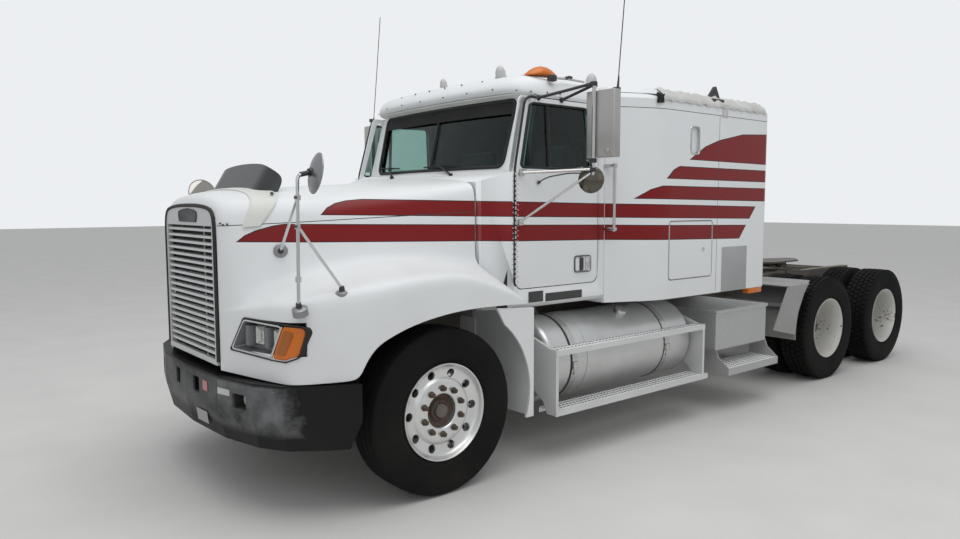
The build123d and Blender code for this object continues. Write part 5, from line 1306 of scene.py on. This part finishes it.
# Sleeper trim. A chromed vent, a rimmed baggage door with a round latch, a plain alloy
# plate and an amber marker under the side, and a taped roof edge where the seam has torn.
shape = None
vent = rounded(((2.374, 2.169), (2.486, 2.169), (2.486, 2.381), (2.374, 2.381)), 0.024)
for sign in (1, -1):
    shape = tube([(sign * 1.209, y, z) for y, z in vent], 0.0075, shape, closed=True)
    shape = aimed(((-0.004, 0), (-0.004, 0.016), (0.004, 0.016), (0.007, 0.011), (0.005, 0)),
                  (sign * 1.211, 2.569, 1.411), (sign, 0, 0), shape=shape)
put("vent_rims", shape, chrome, "chassis")
shape = None
for sign in (1, -1):
    rings = [[Vector((sign * x, y, z)) for y, z in grown(vent, (2.43, 2.275), 0.98)] for x in (1.175, 1.188)]
    shape = moulding(rings, shape)
put("vent_screens", shape, screen_black, "chassis")
baggage = rounded(((2.113, 1.185), (2.697, 1.185), (2.697, 1.642), (2.113, 1.642)), 0.032)
for side, sign in SIDES:
    shape = tube([(sign * 1.2085, y, z) for y, z in grown(baggage, (2.405, 1.4135), 0.978)], 0.004, closed=True)
    put(f"baggage_rim_{side}", shape, stainless, f"baggage_{side}")
    shape = tube([(sign * 1.199, y, z) for y, z in baggage], 0.0060, closed=True)
    put(f"baggage_seal_{side}", shape, gasket_rubber, "chassis")
shape = block((1.2095, 2.84, 1.042), (1.2135, 3.22, 1.415), 0.0015)
for y in (2.865, 3.195):
    for z in (1.07, 1.22, 1.39):
        screw((1.2135, y, z), (1, 0, 0), 0.006, shape)
alloy_plate = weathered("alloy_plate", (0.42, 0.43, 0.44), 0.45, metallic=0.5, dust=0.35, dust_top=1.6,
                        spread=0.12)
put("side_plates", both_sides(shape), alloy_plate, "chassis")
shape = block((1.150, 3.27, 0.992), (1.214, 3.48, 1.038), 0.008)
put("side_marker_low", both_sides(shape), amber, "chassis")
shape = block((1.0205, 0.810, 1.104), (1.0245, 0.948, 1.180), 0.002)
put("sill_plate", both_sides(shape), dark_fitting, "chassis")
shape = block((1.0205, 0.972, 1.100), (1.0235, 1.342, 1.158), 0.0015)
put("sill_strip", both_sides(shape), dark_fitting, "chassis")
shape = prism(((1.955, 2.528), (2.028, 2.533), (2.020, 2.570), (2.034, 2.600), (1.990, 2.592), (1.948, 2.604),
               (1.962, 2.560)), 1.1935, 1.2085, "X")
put("roof_tear", shape, screen_black, "chassis")
upright = prism(((2.663, 2.612), (2.864, 2.612), (2.850, 2.650), (2.800, 2.735), (2.770, 2.730)), 1.130, 1.146,
                "X")
foot = prism(((2.690, 2.600), (2.850, 2.600), (2.850, 2.625), (2.690, 2.625)), 1.130, 1.190, "X")
put("roof_bracket", joined(upright, foot), dark_fitting, "chassis")
tape = weathered("roof_tape", (0.62, 0.63, 0.62), 0.5, dust=0.5, dust_top=5, spread=0.25, grain=0.3)
steps = 44
rows = []
for out, z in ((1.2115, 2.548), (1.2125, 2.566), (1.190, 2.594), (1.165, 2.622), (1.145, 2.640), (1.110, 2.6425)):
    row = []
    for index in range(steps + 1):
        y = 2.02 + 1.44 * index / steps
        ripple = 0.0035 * sin(index * 2.3 + z * 90) + 0.003 * sin(index * 0.9)
        row.append(Vector((out + 0.004 + ripple, y, z + 0.004 + ripple + 0.005 * sin(index * 1.7))))
    rows.append(row)
put("roof_edge_tape", both_sides(thickened(skinned(rows), 0.004)), tape, "chassis", crease=60)
shape = None
for y in (2.800, 2.850):
    shape = block((1.2085, y, 2.478), (1.216, y + 0.024, 2.585), 0.002, shape)
put("roof_straps", both_sides(shape), tape, "chassis")

# Bumper fittings. Open pockets moulded into the bumper, two with fog lamps, a strip of
# reflecting tape, a faded patch and a blank plate that hangs from one screw.

# inner x, outer x, lower z, upper z, y of the front, slope of the front
POCKETS = ((0.085, 0.215, 0.645, 0.735, -1.156, 0.05), (0.610, 0.730, 0.630, 0.715, -1.090, 0.25))
shape, lamps_low = None, None
for sign in (1, -1):
    for low_x, high_x, low_z, high_z, front, slope in POCKETS:
        middle_x, middle_z = (low_x + high_x) / 2, (low_z + high_z) / 2
        corners = ((low_x, low_z), (high_x, low_z), (high_x, high_z), (low_x, high_z))
        rings = []
        for deep, scale in ((0.086, 1.1), (0.012, 1.1), (0.012, 1.0), (0.070, 0.92)):
            rings.append([Vector((sign * (middle_x + (x - middle_x) * scale),
                                  front + deep + slope * (x - middle_x),
                                  middle_z + (z - middle_z) * scale)) for x, z in corners])
        shape = moulding(rings, shape)
    lamps_low = aimed(((0, 0), (0, 0.034), (0.012, 0.036), (0.016, 0.030), (0.020, 0.012), (0.021, 0)),
                      (sign * 0.672, -1.030, 0.674), (sign * 0.25, -0.97, 0), shape=lamps_low)
put("bumper_pockets", shape, screen_black, "chassis")
put("fog_lamps", lamps_low, clear_dome, "chassis")
patch_white = weathered("reflecting_tape", (0.60, 0.60, 0.58), 0.35, dust=0.3, spread=0.3, grain=0.2)
patch_pink = weathered("faded_patch", (0.50, 0.20, 0.22), 0.5, dust=0.4, spread=0.3, grain=0.2)


def bumper_face(x, z, proud=0.0015):
    """A point on the bumper's front, which is bent in plan and tucks in below its knee."""
    plan = ((0, -1.165), (0.480, -1.138), (0.790, -1.060), (0.960, -0.962), (1.100, -0.780), (1.190, -0.600))
    (y,) = along(plan, abs(x))
    tuck = max(0.0, 0.583 - z) * 0.14
    return Vector((x, y - proud + tuck, z))


for name, finish, low_x, high_x, low_z, high_z in (("bumper_tape", patch_white, 0.480, 0.590, 0.692, 0.728),
                                                   ("bumper_patch", patch_pink, 0.270, 0.335, 0.676, 0.735),
                                                   ("hanging_plate", alloy_plate, 0.150, 0.305, 0.470, 0.545)):
    rows = [[bumper_face(low_x + (high_x - low_x) * step / 4, z) for step in range(5)] for z in (low_z, high_z)]
    put(name, thickened(skinned(rows), 0.002, 1), finish, "chassis")

# Seats. Two air seats on folded steel pedestals with rubber bellows. The foam cushions and
# tall backs have dark ribbed cloth, sewn in channels over the foam.
seat_steel = weathered("seat_steel", (0.05, 0.05, 0.052), 0.5, dust=0.2, dust_top=3.0, spread=0.2, grain=0.2)
# Waves of the weave in a metre of cloth, times two pi
WEAVE = 1500.0
seat_cloth, tree, inputs = blank("seat_cloth")
x, y, z = split(tree)
weave = (x * WEAVE).on("SINE") * ((y + z) * WEAVE).on("SINE")
worn = group_in(tree, mottle, Scale=6.0, Spread=0.3)
shown = tint(tree, worn["Tone"], (0.020, 0.021, 0.026, 1), (0.045, 0.047, 0.055, 1))
wire(tree, inputs, {"Base Color": tint(tree, weave * 0.12 + 0.12, shown, (0.10, 0.10, 0.11, 1)),
                    "Roughness": 0.92, "Sheen Weight": 0.25, "Normal": bumped(tree, weave, 0.35, 0.0006)})


def swollen(shape, cap):
    """A sewn foam form: cloth blown up over it, held within a few millimetres of its pattern."""
    shape = refined(shape, "REMESH", mode="VOXEL", voxel_size=0.010)
    data = as_mesh("pad", shape)
    pad = linked("pad", data)
    cloth = pad.modifiers.new("swell", "CLOTH")
    cloth.settings.quality = 4
    cloth.settings.use_pressure = True
    cloth.settings.uniform_pressure_force = 4
    cloth.settings.effector_weights.gravity = 0
    for number in range(1, 21):
        scene.frame_set(number)
        blown = bpy.data.meshes.new_from_object(pad.evaluated_get(bpy.context.evaluated_depsgraph_get()))
    result = as_shape(blown)
    for vert, rest in zip(result.verts, data.vertices):
        move = vert.co - rest.co
        if move.length > cap:
            vert.co = rest.co + move * (cap / move.length)
    bpy.data.objects.remove(pad)
    scene.frame_set(1)
    bmesh.ops.smooth_vert(result, verts=result.verts, factor=0.5, use_axis_x=True, use_axis_y=True,
                          use_axis_z=True)
    return result


def channelled(shape, middle, lines):
    """Sewn channels pressed into a pad, each at a distance across it."""
    shape.normal_update()
    for vert in shape.verts:
        for line in lines:
            gap = abs(abs(vert.co.x - middle) - line)
            if gap < 0.02:
                vert.co -= vert.normal * 0.007 * (1 - gap / 0.02) ** 2
    return shape


shape = None
for x in (0.48, -0.48):
    shape = block((x - 0.165, 1.185, 1.121), (x + 0.165, 1.475, 1.150), 0.008, shape)
    shape = block((x - 0.165, 1.185, 1.360), (x + 0.165, 1.475, 1.428), 0.012, shape)
    folds = [(0.018 * index, 0.105 if index % 2 else 0.130) for index in range(12)]
    shape = aimed([(0, 0.001), *folds, (0.215, 0.001)], (x, 1.33, 1.148), (0, 0, 1), shape=shape)
    shape = block((x - 0.225, 1.500, 1.440), (x + 0.225, 1.545, 1.560), 0.010, shape)
put("seat_bases", shape, seat_steel, "chassis", ["seats"])
for side, x in (("left", 0.48), ("right", -0.48)):
    shape = block((x - 0.240, 1.100, 1.442), (x + 0.240, 1.500, 1.555), 0.030)
    bmesh.ops.subdivide_edges(shape, edges=shape.edges, cuts=3, use_grid_fill=True)
    pad = put(f"seat_cushion_{side}", channelled(swollen(shape, 0.012), x, (0.085, 0.175)), seat_cloth, "chassis",
              crease=70)
    shape = block((x - 0.230, -0.045, 0.0), (x + 0.230, 0.045, 0.690), 0.026)
    bmesh.ops.subdivide_edges(shape, edges=shape.edges, cuts=3, use_grid_fill=True)
    lean = Matrix.Translation((0, 1.535, 1.556)) @ Matrix.Rotation(radians(-8.2), 4, "X")
    bmesh.ops.transform(shape, matrix=lean, verts=shape.verts)
    pad = put(f"seat_back_{side}", channelled(swollen(shape, 0.010), x, (0.080, 0.165)), seat_cloth, "chassis",
              crease=70)

# Steering wheel and gauges. A moulded rim over a steel ring with three spokes and a padded
# hub on its column, and a row of round gauges let into the dashboard.
COLUMN_FOOT, HUB = Vector((0.480, 0.955, 1.627)), Vector((0.480, 1.140, 1.790))
column = (HUB - COLUMN_FOOT).normalized()
ring_profile = [(0.014 * sin(2 * pi * step / 12), 0.215 + 0.014 * cos(2 * pi * step / 12)) for step in range(12)]
shape = aimed(ring_profile, HUB, column)
hub_pad = ((-0.030, 0), (-0.030, 0.045), (0.010, 0.052), (0.022, 0.046), (0.026, 0.02), (0.027, 0))
shape = aimed(hub_pad, HUB, column, shape=shape)
for turn in (90, 210, 330):
    arm = Matrix.Rotation(radians(turn), 4, column) @ Vector((1, 0, 0))
    arm = (arm - column * arm.dot(column)).normalized()
    shape = tube((HUB + arm * 0.04, HUB + arm * 0.13 - column * 0.006, HUB + arm * 0.207), 0.0085, shape)
shape = tube((COLUMN_FOOT, HUB - column * 0.02), 0.026, shape)
put("steering_wheel_rim", shape, cab_trim, "chassis", ["steering_wheel"])
shape = None
for x in (0.30, 0.40, 0.52, 0.64, 0.73):
    shape = aimed(((0, 0), (0, 0.036), (0.010, 0.040), (0.014, 0.036), (0.010, 0.030), (0.008, 0)),
                  (x, 0.972, 1.79), (0, 0.97, 0.22), 0.9, shape)
put("gauges", shape, dark_fitting, "chassis")

# Steps and tanks. Punched aluminium treads with raised grips on the steps, each grip topped by a black disc that
# is painted shade in its hole, two polished flat straps over rubber liners with drawn-up bolts, and a filler cap
# on each fuel tank.
grip_sheet = weathered("grip_sheet", (0.80, 0.81, 0.81), 0.40, metallic=0.25, dust=0.18, dust_top=1.1,
                       spread=0.12, grain=0.1)


def grip_places(low_x, high_x, low_y, high_y, pitch):
    """Middles of the tread's grips, each row moved by a quarter from the one before."""
    rows = max(1, int((high_x - low_x) / pitch))
    for row in range(rows):
        for index in range(int((high_y - low_y) / pitch)):
            yield (low_x + (high_x - low_x) * (row + 0.5) / rows,
                   low_y + pitch * (index + 0.5 + 0.25 * (row % 2)))


def grips(shape, places, z, low_radius, high_radius, depth):
    """A short eight-sided cone at each place."""
    for x, y in places:
        bmesh.ops.create_cone(shape, cap_ends=True, segments=8, radius1=low_radius, radius2=high_radius,
                              depth=depth, matrix=Matrix.Translation((x, y, z)))
    return shape


GRIP_PITCH = 0.036
# inner x, outer x, front y, rear y, top z
TREADS = ((1.104, 1.204, 0.905, 2.615, 0.782), (1.046, 1.204, 0.905, 2.665, 0.372),
          (0.991, 1.262, 2.910, 3.690, 0.385))
for side, sign in SIDES:
    shape, holes = None, bmesh.new()
    for low_x, high_x, low_y, high_y, top in TREADS:
        shape = block((low_x, low_y, top), (high_x, high_y, top + 0.0025), 0.001, shape)
        places = list(grip_places(low_x, high_x, low_y, high_y, GRIP_PITCH))
        grips(shape, places, top + 0.005, GRIP_PITCH * 0.40, GRIP_PITCH * 0.29, 0.006)
        # Black discs on the grips' tops: painted shade where the open holes would show the dark below
        grips(holes, places, top + 0.0085, GRIP_PITCH * 0.23, GRIP_PITCH * 0.22, 0.002)
    shape, holes = on_side_of(shape, sign), on_side_of(holes, sign)
    put(f"step_treads_{side}", shape, grip_sheet, "chassis")
    put(f"step_hole_shade_{side}", holes, screen_black, "chassis")
# Sections of a strap and of its liner, as distance along the tank and radius
BAND = ((-0.0275, 0.308), (0.0275, 0.308), (0.0275, 0.3155), (-0.0275, 0.3155))
LINER = ((-0.041, 0.308), (-0.026, 0.308), (-0.026, 0.3140), (-0.041, 0.3140))
shape, liners = None, None
for y in (1.190, 2.265):
    shape = aimed(BAND, (0.792, y, 0.655), (0, 1, 0), shape=shape)
    liners = aimed(LINER, (0.792, y, 0.655), (0, 1, 0), shape=liners)
    shape = block((1.086, y - 0.025, 0.60), (1.118, y + 0.025, 0.66), 0.006, shape)
    bar(shape, (1.100, y, 0.56), (1.100, y, 0.72), 0.008, sides=8)
put("strap_liners", both_sides(liners), gasket_rubber, "chassis")
shape = aimed(((-0.02, 0), (-0.02, 0.050), (0.020, 0.052), (0.034, 0.046), (0.038, 0.02), (0.038, 0)),
              (0.945, 1.86, 0.932), (0.45, 0, 0.89), shape=shape)
put("tank_straps", both_sides(shape), stainless, "chassis")

# Battery box and quarter fenders. Diamond-pattern aluminium tread plate, bent into a box and into the plates
# ahead of the drive wheels. The box's lugs are painted lighter as painted highlight; the fender plates are plain,
# dusted by the road, and painted darker as painted shade.

# Size of one cell of the pattern, and the half length and half width of the lug in it
CELL, LUG_LONG, LUG_SHORT = 0.026, 0.44, 0.13
diamond_plate, tree, inputs = blank("diamond_plate")
x, y, z = split(tree)
side_on, end_on, upright = split(tree, "Normal")
first = picked(abs(end_on).above(0.7), y, x)
second = picked(abs(upright).above(0.7), z, x)
along_u, along_v = (first + second) / CELL, (first - second) / CELL
odd = (along_u.on("FLOOR") + along_v.on("FLOOR")).on("FLOORED_MODULO", 2.0)
local_u, local_v = along_u.on("FRACT") - 0.5, along_v.on("FRACT") - 0.5
long_way = abs(picked(odd, local_u, local_v) / LUG_LONG).on("POWER", 2.0)
short_way = abs(picked(odd, local_v, local_u) / LUG_SHORT).on("POWER", 2.0)
lug = clamped(1.3 - (long_way + short_way))
worn = group_in(tree, mottle, Scale=3.0, Spread=0.14)
film = group_in(tree, dust_fall, Top=1.2, Amount=0.20)["Mask"]
# The lugs are painted twice as light as the flat between them: painted highlight on the raised lugs, painted
# shade between
plain = tint(tree, lug, (0.44, 0.45, 0.45, 1), (0.86, 0.87, 0.87, 1))
wire(tree, inputs, {"Base Color": tint(tree, film, plain, DUST_TONE), "Metallic": 0.45,
                    "Roughness": film * 0.3 + worn["Tone"] * 0.36, "Normal": bumped(tree, lug, 0.6, 0.002)})
coat(diamond_plate, "battery_box", "deck_plate")
# The fender plates' grey is darker than the box: painted shade, with road dust over it
dusty_plate_painted_shade = weathered("dusty_plate_painted_shade", (0.36, 0.37, 0.37), 0.42, metallic=0.4, dust=0.5, dust_top=1.3,
                         spread=0.2)
coat(dusty_plate_painted_shade, "quarter_fenders")

# Fifth wheel fittings. Old grease on the cast plate, and a bent steel release handle that
# reaches out to the left side.
grease = weathered("greased_iron", (0.022, 0.020, 0.018), 0.38, dust=0.3, dust_top=3.0, rust=0.35, spread=0.5,
                   grain=0.4)
coat(grease, "fifth_wheel_plate")
shape = tube(bent(((0.20, 5.16, 1.085), (0.40, 5.10, 1.082), (0.52, 5.06, 1.060), (0.60, 5.06, 1.060)), 0.04),
             0.009)
shape = tube(bent(((0.60, 5.06, 1.060), (0.60, 5.06, 1.020), (0.60, 5.12, 1.020)), 0.015), 0.009, shape)
put("release_handle", shape, hub_rust, "fifth_wheel")

# Tail. Round red lamps in a folded steel bar across the frame's end, with two pale
# reversing lamps between them.
tail_red = weathered("tail_lens", (0.34, 0.012, 0.012), 0.25, dust=0.4, dust_top=1.4, spread=0.15, grain=0.05)
shape = block((-0.42, 6.845, 0.770), (0.42, 6.862, 0.960), 0.006)
put("tail_bar", shape, chassis_paint, "chassis")
reds, pale = None, None
LENS = ((0, 0), (0, 0.050), (0.010, 0.052), (0.016, 0.044), (0.022, 0.020), (0.023, 0))
for x in (-0.345, -0.215, 0.215, 0.345):
    reds = aimed(LENS, (x, 6.862, 0.865), (0, 1, 0), shape=reds)
for x in (-0.075, 0.075):
    pale = aimed(LENS, (x, 6.862, 0.865), (0, 1, 0), 0.9, pale)
put("tail_lamps", reds, tail_red, "chassis")
put("reversing_lamps", pale, clear_dome, "chassis")
